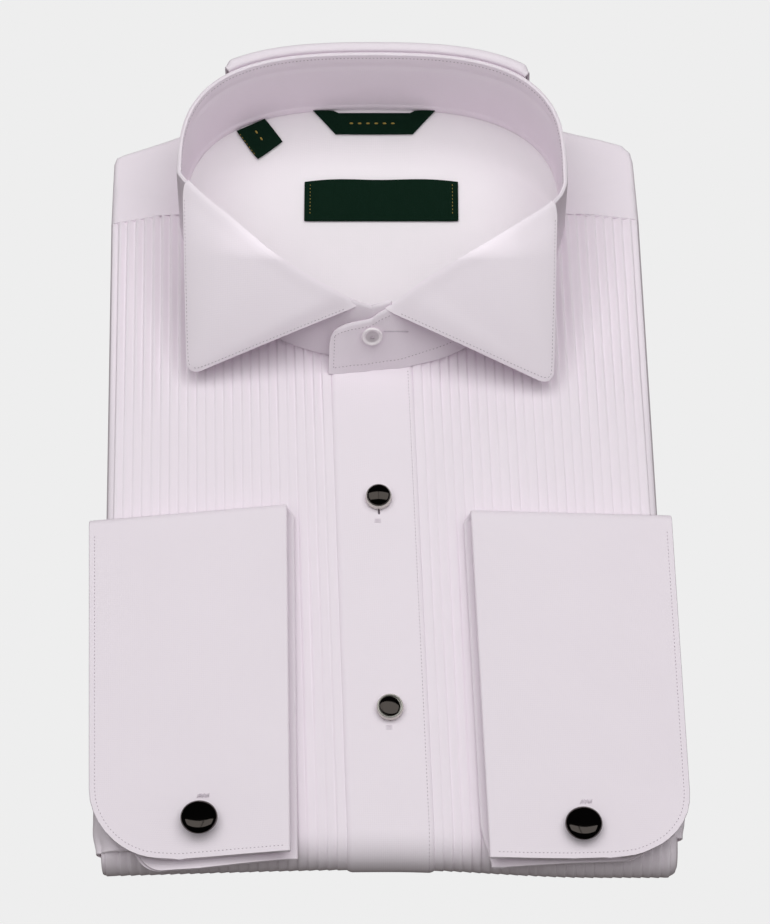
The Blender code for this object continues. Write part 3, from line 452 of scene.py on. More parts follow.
# lines hold (point, normal) along each seam, and each stitch is a short low bead of thread
def sewStitches(name, lines, look=None, thread=None):
    thread = thread or seamThread
    points, faces = [], []
    for line in lines:
        lengths = [0.0]
        for (here, _), (there, _) in zip(line, line[1:]):
            lengths.append(lengths[-1] + (there - here).length)

        def at(distance):
            for place in range(len(line) - 1):
                if distance <= lengths[place + 1] or place == len(line) - 2:
                    span = max(lengths[place + 1] - lengths[place], 1e-6)
                    share = (distance - lengths[place]) / span
                    return (line[place][0].lerp(line[place + 1][0], share),
                            line[place][1].lerp(line[place + 1][1], share).normalized())

        start = 0.0
        while start + thread["stitch"] < lengths[-1]:
            first, up = at(start)
            last, _ = at(start + thread["stitch"])
            way = (last - first).normalized()
            side = way.cross(up).normalized()
            base = len(points)
            for share, thick, lift in beadShape:
                centre = first.lerp(last, share) + up * thread["radius"] * lift
                for corner in range(6):
                    angle = corner * math.pi / 3
                    points.append(centre + (side * math.cos(angle) + up * math.sin(angle))
                                  * thread["radius"] * thick)
            faces.append(tuple(base + corner for corner in range(6)))
            for ringNumber in range(3):
                low = base + ringNumber * 6
                for corner in range(6):
                    after = (corner + 1) % 6
                    faces.append((low + after, low + corner, low + 6 + corner, low + 6 + after))
            faces.append(tuple(base + 18 + corner for corner in reversed(range(6))))
            start += thread["stitch"] + thread["space"]
    made = addMesh(name, points, faces, None, 70)
    return finishPiece(made, look or whiteThread, None)


frontLook = {
    "wall": 2.3, "pleats": {"left": 25, "right": 26}, "reach": math.radians(66),
    "fadeFrom": 80, "fadeOver": 60, "flange": 10.0, "recess": 1.3, "bedClear": 0.05, "bibClear": 0.12,
    "topRows": 58, "underRows": 14, "wobble": 0.3, "faint": 0.7, "vary": 1.7, "besideWings": 1.1,
    "onFold": 0.45, "squareLeft": 0.65, "squareRight": 0.065, "flat": (0.137, 0.605),
}
# share across one pleat, outwards from its inner side, and how far it lies below the top
pleatShape = [(0.0, 0.24), (0.06, 0.30), (0.15, 0.29), (0.3, 0.22), (0.5, 0.12), (0.7, 0.03), (0.84, 0.0),
              (0.92, 0.07)]
placketPlan = {"x": -4.0, "lean": -0.038, "half": 17.0, "bed": 1.0, "proud": 0.9, "edge": 2.2,
               "edgeDrop": 0.75, "riseY": 50.0, "riseOver": 40.0, "settle": 90, "settleOver": 60}


placketLook = {"stitchIn": 1.9, "flat": (0.034, 0.60)}


def placketX(y):
    return placketPlan["x"] + placketPlan["lean"] * y


def baseFrontY(x):
    base = collarPlan["base"]
    reach = abs(x - collarPlan["neckX"]) / base["half"]
    if reach >= 1:
        return seamY(x)
    power = base["frontPower"]
    depth = base["front"] * (1 - reach ** power) ** (1 / power)
    turn = math.copysign(math.degrees(math.asin(reach ** (power / 2))), collarPlan["neckX"] - x)
    back = tableValue(collarPlan["seamBack"], turn)
    return min(collarPlan["neckY"] - depth + back - bodyPlan["gap"] / 2, seamY(x))


def foldPath(startY, endY, topRows, underRows):
    bottom = bodyPlan["bottomFoldY"]
    path = [(y, 0) for y in between(startY, bottom, topRows)]
    path += [(bottom, turn) for turn in (10, 20, 32, 45, 57, 68, 80, 90, 102, 115, 130, 145, 162, 180)]
    return path + [(y, 180) for y in between(bottom, endY, underRows)[1:]]


def frontColumns(sideName):
    columns = [("bed", 0.15, frontLook["recess"]), ("bed", 9.0, frontLook["recess"]),
               ("bed", placketPlan["half"] + frontLook["bedClear"], frontLook["recess"])]
    for pleat in range(frontLook["pleats"][sideName]):
        columns += [("pleat", (pleat, share), drop) for share, drop in pleatShape]
    columns += [("wrap", math.radians(angle), 0.0) for angle in (78, 90, 105, 120, 135, 150, 165, 180)]
    columns.append(("flange", frontLook["flange"], 0.0))
    return columns


def frontSection(column, side, count, y, turn, plain):
    kind, place, drop = column
    height = topZ(y) - middle if turn == 0 else middle
    radius = (height - bodyPlan["sleeveSpace"]) / 2
    bendX = sideX(y, side) - side * radius
    firstX = placketX(y) + side * (placketPlan["half"] + frontLook["bibClear"])
    if plain:
        drop = frontLook["wall"]
    elif kind == "pleat":
        drop *= 1 - smooth((turn - frontLook["fadeFrom"]) / frontLook["fadeOver"])
    if kind == "bed":
        return placketX(y) + side * place, height - drop
    if kind == "flange":
        return bendX - side * place, bodyPlan["sleeveSpace"] + drop
    flat = abs(bendX - firstX)
    if kind == "pleat":
        pleat, share = place
        along = y if turn == 0 else bodyPlan["bottomFoldY"] - turn * 0.2
        calm = 1 - smooth(abs(share - 0.97) / 0.9)
        shift = frontLook["wobble"] * wander(pleat * 3.7, along * 0.013, side * 5.0) * calm
        if not plain:
            lift = 0.5 + 0.5 * wander(pleat * 1.3, along * 0.018, side * 9.0 + 20)
            drop *= (frontLook["faint"] + frontLook["vary"] * lift) * (0.25 if pleat == 0 else 1)
            drop *= 1 + frontLook["besideWings"] * smooth((along - 5) / 45)
            drop *= 1 + frontLook["onFold"] * smooth((turn - 8) / 40)
        distance = (flat + radius * frontLook["reach"]) * (pleat + share) / count + shift
        if distance <= flat:
            return firstX + side * distance, height - drop
        angle = (distance - flat) / radius
    else:
        angle = place
    # the left side ends in a nearly square corner at the bottom fold
    square = frontLook["squareLeft"] if side < 0 else frontLook["squareRight"]
    square *= smooth((-140 - y) / 24) * smooth((175 - turn) / 60)
    out = (radius - drop) * signedPower(math.sin(angle), 1 - square)
    return bendX + side * out, height - radius + (radius - drop) * signedPower(math.cos(angle), 1 - square)


def makeFront(sideName):
    side = -1 if sideName == "left" else 1
    count = frontLook["pleats"][sideName]
    outer, inner = [], []
    for column in frontColumns(sideName):
        startY = collarPlan["neckY"]
        for _ in range(6):
            x, _height = frontSection(column, side, count, startY, 0, True)
            startY = baseFrontY(x) if column[0] in ("bed", "pleat") else seamY(x)
        outer.append([])
        inner.append([])
        for y, turn in foldPath(startY, bodyPlan["tailEndY"], frontLook["topRows"], frontLook["underRows"]):
            x, height = frontSection(column, side, count, y, turn, False)
            outer[-1].append(onFold(x, height, y, turn))
            x, height = frontSection(column, side, count, y, turn, True)
            inner[-1].append(onFold(x, height, y, turn))
    if side < 0:
        outer.reverse()
        inner.reverse()
    made = clothWall("bib" + sideName.capitalize(), outer, inner, 0.3, 70)
    finishPiece(made, poplin, ["front_" + sideName])


makeFront("left")
makeFront("right")
print("pleated fronts ready")


def placketTop(offset, y, turn=0):
    height = topZ(y) - middle if turn == 0 else middle
    proud = placketPlan["proud"] * smooth((placketPlan["riseY"] - y) / placketPlan["riseOver"])
    proud *= 1 - smooth((turn - placketPlan["settle"]) / placketPlan["settleOver"])
    edge = max(abs(offset) - (placketPlan["half"] - placketPlan["edge"]), 0) / placketPlan["edge"]
    ripple = 0.10 * wander(offset * 0.03, y * 0.02, 4.0) * (1 if turn == 0 else 0)
    return onFold(placketX(y) + offset, height + proud - placketPlan["edgeDrop"] * edge ** 2 + ripple,
                  y, turn)


def makePlacket():
    half, edge = placketPlan["half"], placketPlan["edge"]
    offsets = between(-half, -half + edge, 5) + between(-half + 4, half - 4, 10)
    offsets += between(half - edge, half, 5)
    outer, inner = [], []
    for offset in offsets:
        startY = collarPlan["neckY"] - collarPlan["base"]["front"]
        for _ in range(6):
            startY = baseFrontY(placketX(startY) + offset)
        outer.append([])
        inner.append([])
        for y, turn in foldPath(startY, bodyPlan["tailEndY"], 60, 14):
            outer[-1].append(placketTop(offset, y, turn))
            height = (topZ(y) - middle if turn == 0 else middle) - placketPlan["bed"]
            inner[-1].append(onFold(placketX(y) + offset, height, y, turn))
    made = clothWall("placketStrip", outer, inner)
    finishPiece(made, poplin, ["placket"])
    line = []
    offset = half - placketLook["stitchIn"]
    for y, turn in foldPath(41.0, -100.0, 60, 2)[:70]:
        point = placketTop(offset, y, turn)
        out = point - onFold(0, 0, y, turn)
        out.x = 0
        line.append((point, out.normalized()))
    sewStitches("placketStitches", [line])


makePlacket()
print("placket ready")


def bandReach(turn):
    if turn <= 340:
        return 1.0
    endX = collarPoint(collarPlan["overEnd"], 0.5).x
    reach = collarPoint(turn, 0.5).x - endX
    near = max(1 - reach / collarPlan["endRound"], 0.0)
    low = collarPlan["endDip"] * (1 - smooth((reach - 14) / 22))
    return collarPlan["endHeight"] + (1 - collarPlan["endHeight"]) * math.sqrt(max(1 - near, 0.0)) - low


# a point and its normal on the band, side 1 outside and -1 inside
def bandSpot(turn, share, side):
    height = bandReach(turn) * share
    out = flatNormal(turn, height) * side
    return collarPoint(turn, height) + out * collarPlan["wall"] / 2, out


bandLook = {
    "flat": (0.455, 0.045), "rimStitch": 0.955, "topStitch": 0.92, "baseStitch": 0.15, "endStitch": 1.4,
    "seamLine": 0.80, "crease": 0.5, "fold": 0.08, "foldDepth": 0.4, "slack": 0.7,
    "shares": [0, 0.03, 0.065, 0.08, 0.1, 0.25, 0.4, 0.55, 0.7, 0.76, 0.79, 0.81, 0.84, 0.9, 0.94, 0.985, 1],
}


def makeBand():
    turns = [collarPlan["underEnd"], -7, -4.5, -2, 0] + between(2, 350, 180)
    last = collarPlan["overEnd"]
    turns += [350 + (last - 350) * (1 - (1 - share) ** 1.7) for share in between(0.06, 1.0, 20)]
    outer, inner = [], []
    for turn in turns:
        reach = bandReach(turn)
        outer.append([])
        inner.append([])
        crease = bandLook["crease"] * smooth((75 - abs(turn - 180)) / 12)
        for share in bandLook["shares"]:
            point = collarPoint(turn, reach * share)
            out = flatNormal(turn, reach * share) * (collarPlan["wall"] / 2)
            pinch = 1 - 0.25 * max(share - 0.94, 0) / 0.06
            outer[-1].append(point + out * pinch)
            dent = crease * math.exp(-((share - bandLook["seamLine"]) / 0.02) ** 2)
            # the inner ply is loose: a folded lower edge, and slack above it
            dent -= bandLook["foldDepth"] * smooth((bandLook["fold"] - share) / 0.015)
            loose = math.sin(math.pi * min(share / bandLook["seamLine"], 1.0))
            dent += bandLook["slack"] * wander(turn * 0.06, share * 2.5, 3.0) * loose
            inner[-1].append(point - out * (pinch - dent))
    made = clothWall("collarBand", outer, inner, 0.3)
    finishPiece(made, fusedPoplin, ["collar_stand"])
    low, high, last = bandLook["baseStitch"], bandLook["topStitch"], last - bandLook["endStitch"]
    inside = [bandSpot(turn, bandLook["rimStitch"], -1) for turn in between(20, 340, 220)]
    overEnd = [bandSpot(last, share, 1) for share in between(low, high, 16)]
    top = [bandSpot(turn, high, 1) for turn in between(last, 351, 30)]
    base = [bandSpot(turn, low, 1) for turn in between(318, last, 44)]
    sewStitches("bandStitches", [inside, overEnd, top, base])


wingPlan = {
    "wall": 1.1, "steps": 48, "tipRadius": 4.2, "frontFade": 0.13, "belly": 2.5, "stitchIn": 1.5,
    "roll": {"share": 0.125, "start": 0.06, "in": 0.4, "out": 3.0, "up": 2.0, "drop": 1.5},
    "flat": (0.088, 0.078),
    "left": {"start": 76.0, "end": 7.7, "tip": (-82.2, 35.6, 28.0)},
    "right": {"start": 287.0, "end": 352.0, "tip": (69.8, 30.6, 28.0)},
}


def wingFlat(sideName, along, down):
    wing, roll = wingPlan[sideName], wingPlan["roll"]
    turn = wing["end"] + (wing["start"] - wing["end"]) * along
    out = flatNormal(turn, 0.9)
    over = min(down / roll["share"], 1.0)
    over = math.sin(over * math.pi / 2) if down < roll["share"] else 1.0
    fade = smooth(along / wingPlan["frontFade"])  # the roll flattens towards the front point
    start = collarPoint(turn, 1) + out * (roll["out"] * (0.4 + 0.6 * fade) * over - roll["in"])
    start.z += (roll["up"] + 1.2) * fade - 1.2 - roll["drop"] * over * over * fade
    fall = max(down - roll["start"], 0) / (1 - roll["start"])
    belly = wingPlan["belly"] * math.sin(math.pi * down) * (0.4 + 0.6 * math.sin(math.pi * along))
    return start.lerp(Vector(wing["tip"]), fall) + Vector((0, 0, belly))


# the wing with its tip rounded off in its own plane
def wingPoint(sideName, along, down):
    point, tip = wingFlat(sideName, along, down), Vector(wingPlan[sideName]["tip"])
    radius = wingPlan["tipRadius"]
    toOuter = (wingFlat(sideName, 1, 0.1) - tip).normalized()
    toFront = (wingFlat(sideName, 0, 0.1) - tip).normalized()
    inward = (toOuter + toFront).normalized()
    half = math.acos(toOuter.dot(inward))
    centre = tip + inward * radius / math.sin(half)
    upright = toOuter.cross(toFront).normalized()
    reach = point - centre
    lift = upright * reach.dot(upright)
    reach -= lift
    way = reach.normalized()
    if -way.dot(inward) <= math.sin(half):
        return point
    edges = [(toward * inward.dot(toward) - inward).normalized() for toward in (toOuter, toFront)]
    return centre + lift + reach * max(way.dot(edge) for edge in edges)


def wingNormal(sideName, along, down):
    step = 0.01
    a, b = min(along + step, 1), max(along - step, 0)
    across = wingPoint(sideName, a, down) - wingPoint(sideName, b, down)
    fallen = wingPoint(sideName, along, min(down + step, 1)) - wingPoint(sideName, along, down - step)
    out = across.cross(fallen).normalized()
    return out if out.z > 0 else -out


def makeWing(sideName):
    steps, wall = wingPlan["steps"], wingPlan["wall"]
    rows = []
    for row in range(steps + 1):
        down = row / steps
        rows.append([wingPoint(sideName, column / max(steps - row, 1), down)
                     for column in range(steps - row + 1)])
    flat = [point for row in rows for point in row]
    starts = [sum(len(rows[before]) for before in range(row)) for row in range(steps + 1)]
    triangles = []
    for row in range(steps):
        for column in range(steps - row):
            low, high = starts[row] + column, starts[row + 1] + column
            triangles.append((low, low + 1, high))
            if column < steps - row - 1:
                triangles.append((low + 1, high + 1, high))
    normals = [Vector((0, 0, 0)) for _ in flat]
    for corners in triangles:
        a, b, c = (flat[corner] for corner in corners)
        for corner in corners:
            normals[corner] += (b - a).cross(c - a)
    normals = [out.normalized() for out in normals]
    points = [point + out * wall / 2 for point, out in zip(flat, normals)]
    points += [point - out * wall / 2 for point, out in zip(flat, normals)]
    under = len(flat)
    edge = list(range(steps + 1))
    edge += [starts[row] + steps - row for row in range(1, steps + 1)]
    edge += [starts[row] for row in range(steps - 1, 0, -1)]
    centre = sum(flat, Vector((0, 0, 0))) / len(flat)
    ring = []
    for corner in edge:
        way = flat[corner] - centre
        way -= normals[corner] * way.dot(normals[corner])
        ring.append(len(points))
        points.append(flat[corner] + way.normalized() * wall * 0.35)
    faces = list(triangles) + [tuple(under + corner for corner in reversed(three)) for three in triangles]
    for place in range(len(edge)):
        after = (place + 1) % len(edge)
        here, there = edge[place], edge[after]
        faces.append((there, here, ring[place], ring[after]))
        faces.append((ring[after], ring[place], under + here, under + there))
    uvs = [(point.x, point.y) for point in points]
    made = addMesh("wing" + sideName.capitalize(), points, faces, uvs)
    finishPiece(made, fusedPoplin, ["wing_" + sideName])
    outerEdge, frontEdge = [], []
    for down in between(0.12, 0.965, 60):
        wide = (wingFlat(sideName, 1, down) - wingFlat(sideName, 0, down)).length
        inset = min(wingPlan["stitchIn"] / max(wide, 1), 0.5)
        for line, along in ((outerEdge, 1 - inset), (frontEdge, inset)):
            out = wingNormal(sideName, along, down)
            line.append((wingPoint(sideName, along, down) + out * wall / 2, out))
    sewStitches("wingStitches" + sideName.capitalize(), [outerEdge, frontEdge])


stripPlan = {"turns": (141.0, 224.0), "depth": 33.0, "wall": 1.2, "roll": 1.8, "below": 1.2,
             "inside": 9.0, "swellMiddle": 0.8, "swellEnd": 0.2, "flat": (0.13, 0.05)}


def makeRolledStrip():
    start, end = stripPlan["turns"]
    near = collarPlan["wall"] / 2 + bodyPlan["gap"] + stripPlan["wall"] / 2
    grid = []
    for turn in between(start, end, 70):
        opened = 0.45 + 0.55 * smooth(min(turn - start, end - turn) / 4)
        roll = stripPlan["roll"] * opened
        far = near + 2 * roll
        top = rimZ(turn) - stripPlan["below"]
        path = [(near, top - stripPlan["inside"]), (near, top - 4), (near, top)]
        for angle in (20, 40, 60, 80, 100, 120, 140, 160, 180):
            bend = math.radians(angle)
            path.append((near + roll * (1 - math.cos(bend)), top + roll * math.sin(bend)))
        path += [(far + stripPlan["swellMiddle"] * math.sin(math.pi * share * 0.9)
                  + stripPlan["swellEnd"] * share, top - stripPlan["depth"] * share)
                 for share in between(0.12, 1.0, 8)]
        column = []
        for out, z in path:
            point = ovalPoint(collarPlan["rim"], turn, out)
            foot = ovalPoint(collarPlan["base"], turn, out)
            height = (rimZ(turn) - z) / (rimZ(turn) - bodyPlan["neckTopZ"])
            point = point.lerp(foot, min(max(height, 0), 1))
            point.z = z
            column.append(point)
        grid.append(column)
    made = clothSheet("rolledStrip", grid, stripPlan["wall"])
    finishPiece(made, fusedPoplin, ["back_flap"])


makeBand()
makeWing("left")
makeWing("right")
makeRolledStrip()
print("collar ready")


yokePlan = {
    "wall": 1.5, "underZ": 14.0, "tail": 7.0, "seamHalf": 0.6, "flat": (0.236, 0.092),
    # inset from the side, left and right y of the outer fold, turn on the neck, fold thickness
    "rows": [
        (0.0, 112.3, 114.3, 90, 6.5), (0.4, 130.0, 131.0, 95, 4.8), (0.9, 143.5, 144.5, 98, 4.2),
        (1.8, 146.4, 149.2, 100, 4.0), (5.0, 148.0, 152.7, 102, 4.0), (14.0, 151.3, 155.6, 105, 4.0),
        (24.0, 155.2, 158.3, 109, 4.0), (34.0, 159.3, 161.0, 115, 4.2), (46.0, 164.0, 164.8, 126, 4.6),
        (67.0, 170.0, 170.2, 149, 5.2), (90.0, 173.6, 173.6, 167, 5.8), (113.4, 174.6, 174.6, 180, 6.0),
    ],
}
backPlan = {"wall": 1.5, "z": 16.3, "frontY": 38.0, "rise": 18.0, "flat": (0.163, 0.132)}


def makeYoke():
    rows = []
    for inset, leftY, _rightY, turn, fold in yokePlan["rows"]:
        rows.append((sideX(leftY, -1) + inset, leftY, turn, fold))
    for inset, _leftY, rightY, turn, fold in reversed(yokePlan["rows"][:-1]):
        rows.append((sideX(rightY, 1) - inset, rightY, 360 - turn, fold))
    fine = []
    for here, there in zip(rows, rows[1:]):
        fine += [tuple(a + (b - a) * share for a, b in zip(here, there)) for share in between(0, 0.875, 7)]
    fine.append(rows[-1])
    grid = []
    for number, (x, y, turn, fold) in enumerate(fine):
        base = ovalPoint(collarPlan["base"], turn, yokePlan["seamHalf"])
        if turn in (90, 270):
            base.y = bodyPlan["seamNeckY"] - 0.6
        outer = Vector((x, y, 0))
        way, reach = (outer - base).normalized(), (outer - base).length
        radius = (fold - yokePlan["wall"]) / 2
        foldZ = yokePlan["underZ"] + fold / 2
        top = bodyPlan["neckTopZ"] - yokePlan["wall"] / 2
        start = reach - fold / 2
        path = []
        for share in between(0, 1, 24):
            soft = 0.55 * wander(x * 0.02, y * 0.03, share * 2.0) * math.sin(math.pi * share)
            # a soft fold behind each front seam, and small puckers along it
            behind = min(number, len(fine) - 1 - number)
            ridge = math.exp(-((behind - 4.5 - 3 * share) / 2.0) ** 2)
            soft += 0.9 * ridge * (0.6 + wander(x * 0.05, y * 0.04, 5))
            soft += 0.3 * wander(start * share * 0.35, number * 0.5, 8.0) * math.exp(-behind / 4)
            path.append((start * share, top + (foldZ + radius - top) * smooth(share) + soft))
        for angle in range(20, 181, 20):
            bend = math.radians(angle)
            path.append((start + radius * math.sin(bend), foldZ + radius * math.cos(bend)))
        path += [(start - 3.5, foldZ - radius), (start - yokePlan["tail"], foldZ - radius)]
        grid.append([base + way * distance + Vector((0, 0, z)) for distance, z in path])
    made = clothSheet("yokePiece", grid, yokePlan["wall"], 0.3)
    finishPiece(made, poplin, ["yoke"])


def backZ(behind):
    rise = bodyPlan["neckTopZ"] - backPlan["z"]
    return backPlan["z"] + rise * (1 - smooth(behind / backPlan["rise"]))


def seamDistance(x, y):
    base = collarPlan["base"]
    reach = min(abs(x - collarPlan["neckX"]) / base["half"], 1.0)
    power = base["backPower"]
    return max(collarPlan["neckY"] + base["back"] * (1 - reach ** power) ** (1 / power) - y, 0.0)


# the yoke seam across the back and the box pleat below its middle
def backRelief(x, y):
    seam = 0.28 * smooth((81.0 - 0.10 * abs(x + 2) - y) / 1.2 + 0.5)
    pleat = 0.22 * math.exp(-((x + 2.5) / 0.8) ** 2) * smooth((84 - y) / 4)
    return -seam + pleat + 0.12 * wander(x * 0.03, y * 0.03, 7.0)


def makeBack():
    turns = [row[3] for row in yokePlan["rows"][1:]]
    turns += [360 - turn for turn in reversed(turns[:-1])]
    fineTurns = []
    for here, there in zip(turns, turns[1:]):
        fineTurns += [here + (there - here) * share for share in (0, 0.2, 0.4, 0.6, 0.8)]
    fineTurns.append(turns[-1])
    grid = []
    for turn in fineTurns:
        edge = ovalPoint(collarPlan["base"], turn, -yokePlan["seamHalf"])
        column = []
        for behind in (0, 1, 2, 3.5, 5, 7, 9, 12, 15, backPlan["rise"]):
            z = backZ(behind) - backPlan["wall"] / 2
            column.append(Vector((edge.x, edge.y - behind, z + 0.1 * wander(edge.x * 0.05, behind * 0.1, 2))))
        low = edge.y - backPlan["rise"]
        for share in between(0.02, 1, 50):
            y = low + (backPlan["frontY"] - low) * share
            z = backPlan["z"] - backPlan["wall"] / 2 + backRelief(edge.x, y) * smooth(share * 8)
            column.append(Vector((edge.x, y, z)))
        grid.append(column)
    made = clothSheet("backInside", grid, backPlan["wall"], 0.3)
    # the back inside the neck takes the darker copy of the poplin, as painted shade
    finishPiece(made, backPoplinShade, ["back"])


makeYoke()
makeBack()
print("yoke and back ready")


labelPlan = {
    "wall": 1.0, "bow": 1.8, "lift": {"large": 0.0, "neck": 0.4, "size": 0.5},
    "large": {"left": -34.4, "right": 31.2, "front": 115.6, "back": 134.5},
    "neck": {"left": -31.0, "right": 21.6, "back": 167.6, "front": 157.8, "mitre": 9.6},
    "size": [(-64.0, 157.4), (-52.2, 163.2), (-44.7, 154.1), (-55.0, 146.1)],
    "thread": {"stitch": 0.8, "space": 0.9, "radius": 0.14},
    "dashes": {"stitch": 1.7, "space": 1.9, "radius": 0.34},
}


def onBack(x, y, lift):
    return Vector((x, y, backZ(seamDistance(x, y)) + lift))


def onLabel(grid, spots):
    normals = gridNormals(grid)
    return [(grid[row][column] + normals[row][column] * labelPlan["wall"] / 2, normals[row][column])
            for row, column in spots]


def makeLabels():
    wall = labelPlan["wall"]
    lifts = {name: bodyPlan["gap"] + wall / 2 + extra for name, extra in labelPlan["lift"].items()}
    large = labelPlan["large"]
    grid = []
    for share in between(0, 1, 30):
        x = large["left"] + (large["right"] - large["left"]) * share
        bowed = labelPlan["bow"] * (0.75 * math.sin(math.pi * share) + 0.25 * math.sin(3 * math.pi * share))
        backY = large["back"] + bowed
        grid.append([onBack(x, y, lifts["large"] + 0.10 * wander(x * 0.08, y * 0.08, 3))
                     for y in between(backY, large["front"], 12)])
    made = clothSheet("labelLarge", grid, wall)
    finishPiece(made, ribbon, ["label_large"])
    ends = [onLabel(grid, [(row, column) for column in range(1, 12)]) for row in (1, len(grid) - 2)]
    neck = labelPlan["neck"]
    grid = []
    for share in between(0, 1, 24):
        backX = neck["left"] + (neck["right"] - neck["left"]) * share
        frontX = neck["left"] + neck["mitre"]
        frontX += (neck["right"] - neck["left"] - 2 * neck["mitre"]) * share
        column = []
        for down in between(0, 1, 8):
            x = backX + (frontX - backX) * down
            rolled = 1.2 * smooth((0.34 - abs(share - 0.5)) / 0.03) * (1 - down)
            y = neck["back"] - rolled + (neck["front"] - neck["back"]) * down
            column.append(onBack(x, y, lifts["neck"]))
        grid.append(column)
    made = clothSheet("labelNeck", grid, wall)
    finishPiece(made, ribbon, ["label_neck"])
    dashes = [onLabel(grid, [(row, 4) for row in range(6, 19)])]
    corners = [Vector(corner) for corner in labelPlan["size"]]
    grid = []
    for share in between(0, 1, 12):
        backEnd, frontEnd = corners[0].lerp(corners[1], share), corners[3].lerp(corners[2], share)
        grid.append([onBack(*backEnd.lerp(frontEnd, down), lifts["size"]) for down in between(0, 1, 9)])
    made = clothSheet("labelSize", grid, wall)
    finishPiece(made, ribbon, ["label_size"])
    ends.append(onLabel(grid, [(0, column) for column in range(1, 9)]))
    dashes.append(onLabel(grid, [(6, column) for column in range(2, 8)]))
    sewStitches("labelGoldThread", ends, goldThread, labelPlan["thread"])
    sewStitches("labelGoldDashes", dashes, goldThread, labelPlan["dashes"])


makeLabels()
print("labels ready")


sleevePlan = {"wall": 1.2, "solidWall": 2.6, "topZ": 29.2, "underZ": 11.4, "swing": 10.7, "square": 0.82,
              "clear": 0.7, "rowsY": {"left": (-169.3, -37.5), "right": (-163.0, -37.5)}, "inCuff": 24.0,
              "tail": 3.0, "flat": (0.075, 0.126)}
cuffPlan = {
    "wall": 0.8, "layer": 0.6, "middleZ": 29.2, "loop": 3.6,
    "rightCornerOut": 3.6, "corner": 27.0, "inset": 17.5,
    "underCorner": 10.0, "wider": 2.8, "longer": 3.0, "stitchIn": 2.1, "flat": (0.17, 0.29),
    "left": {"outerTop": (-119.8, -31.1), "innerTop": (-40.8, -23.6),
             "outerBottom": (-114.4, -174.0), "innerBottom": (-37.6, -172.6), "link": (-72.2, -159.4)},
    "right": {"outerTop": (116.0, -28.7), "innerTop": (35.6, -26.3),
              "outerBottom": (119.4, -175.4), "innerBottom": (41.5, -175.0), "link": (77.1, -161.9)},
}


def makeSleeve(sideName):
    side = -1 if sideName == "left" else 1
    plan = sleevePlan
    rise = (plan["topZ"] - plan["underZ"]) / 2
    low, high = plan["rowsY"][sideName]
    grid = []
    for y in between(low, high, 70):
        edge = sideX(y, side) + side * (plan["clear"] + plan["solidWall"] - plan["wall"] / 2)
        bend = edge - side * plan["swing"]
        # the end is gathered and tucked down beside the body's corner
        tuck = smooth((low + 13 - y) / 13)
        column = [Vector((bend - side * plan["inCuff"], y, plan["topZ"] - 5 * tuck))]
        for angle in range(0, 181, 6):
            swing = math.radians(angle)
            fold = 0.9 * tuck * math.sin(angle * 0.11 + y * 0.2) * math.sin(swing)
            fold += 0.35 * wander(y * 0.04, angle * 0.02, side * 3.0) * math.sin(swing)
            fold = min(fold, 0.3) - 1.6 * tuck * tuck
            x = bend + side * (plan["swing"] * signedPower(math.sin(swing), plan["square"]) + fold)
            z = plan["underZ"] + rise + rise * signedPower(math.cos(swing), plan["square"])
            z += (17.0 - z) * 0.45 * tuck + 0.7 * tuck * math.sin(angle * 0.09)
            column.append(Vector((x, y, z)))
        column.append(Vector((bend - side * plan["tail"], y, plan["underZ"] + 2 * tuck)))
        grid.append(column if side > 0 else column[::-1])
    made = clothSheet("sleeve" + sideName.capitalize(), grid, plan["wall"], 0.3)
    finishPiece(made, poplin, ["sleeve_" + sideName])


def cuffPlace(cuff, across, along):
    top = Vector(cuff["outerTop"]).lerp(Vector(cuff["innerTop"]), across)
    bottom = Vector(cuff["outerBottom"]).lerp(Vector(cuff["innerBottom"]), across)
    point = bottom.lerp(top, along)
    return Vector((point.x, point.y, 0))


def cuffSizes(cuff):
    width = (Vector(cuff["outerTop"]) - Vector(cuff["innerTop"])).length
    length = (Vector(cuff["outerTop"]) - Vector(cuff["outerBottom"])).length
    return width, length


def cuffStations(cuff):
    # along, turn round the loop, and how far across its outer and inner edges stand
    width, length = cuffSizes(cuff)
    corner, under, wider = cuffPlan["corner"], cuffPlan["underCorner"], cuffPlan["wider"] / width
    last = 1 - (cuffPlan["loop"] + cuffPlan["layer"] + cuffPlan["wall"] / 2) / length
    inset, longer = cuffPlan["inset"] / width, cuffPlan["longer"] / length
    angles = [0, 8, 16, 24, 32, 40, 50, 60, 70, 80, 90]
    stations = []
    for angle in angles:
        swing = math.radians(angle)
        stations.append((corner * (1 - math.cos(swing)) / length, 0,
                         corner * (1 - math.sin(swing)) / width, 1.0))
    start = corner / length
    stations += [(start + (last - start) * share, 0, 0.0, 1.0) for share in between(0.05, 0.95, 22)]
    for turn in range(0, 181, 15):
        turned = smooth((turn - 90) / 90)
        stations.append((last, turn, inset * turned, 1 + wider * turned))
    start = under / length - longer
    stations += [(last + (start - last) * share, 180, inset, 1 + wider) for share in between(0.05, 0.95, 18)]
    for angle in reversed(angles):
        swing = math.radians(angle)
        stations.append((under * (1 - math.cos(swing)) / length - longer, 180,
                         inset + under * (1 - math.sin(swing)) / width, 1 + wider))
    return stations


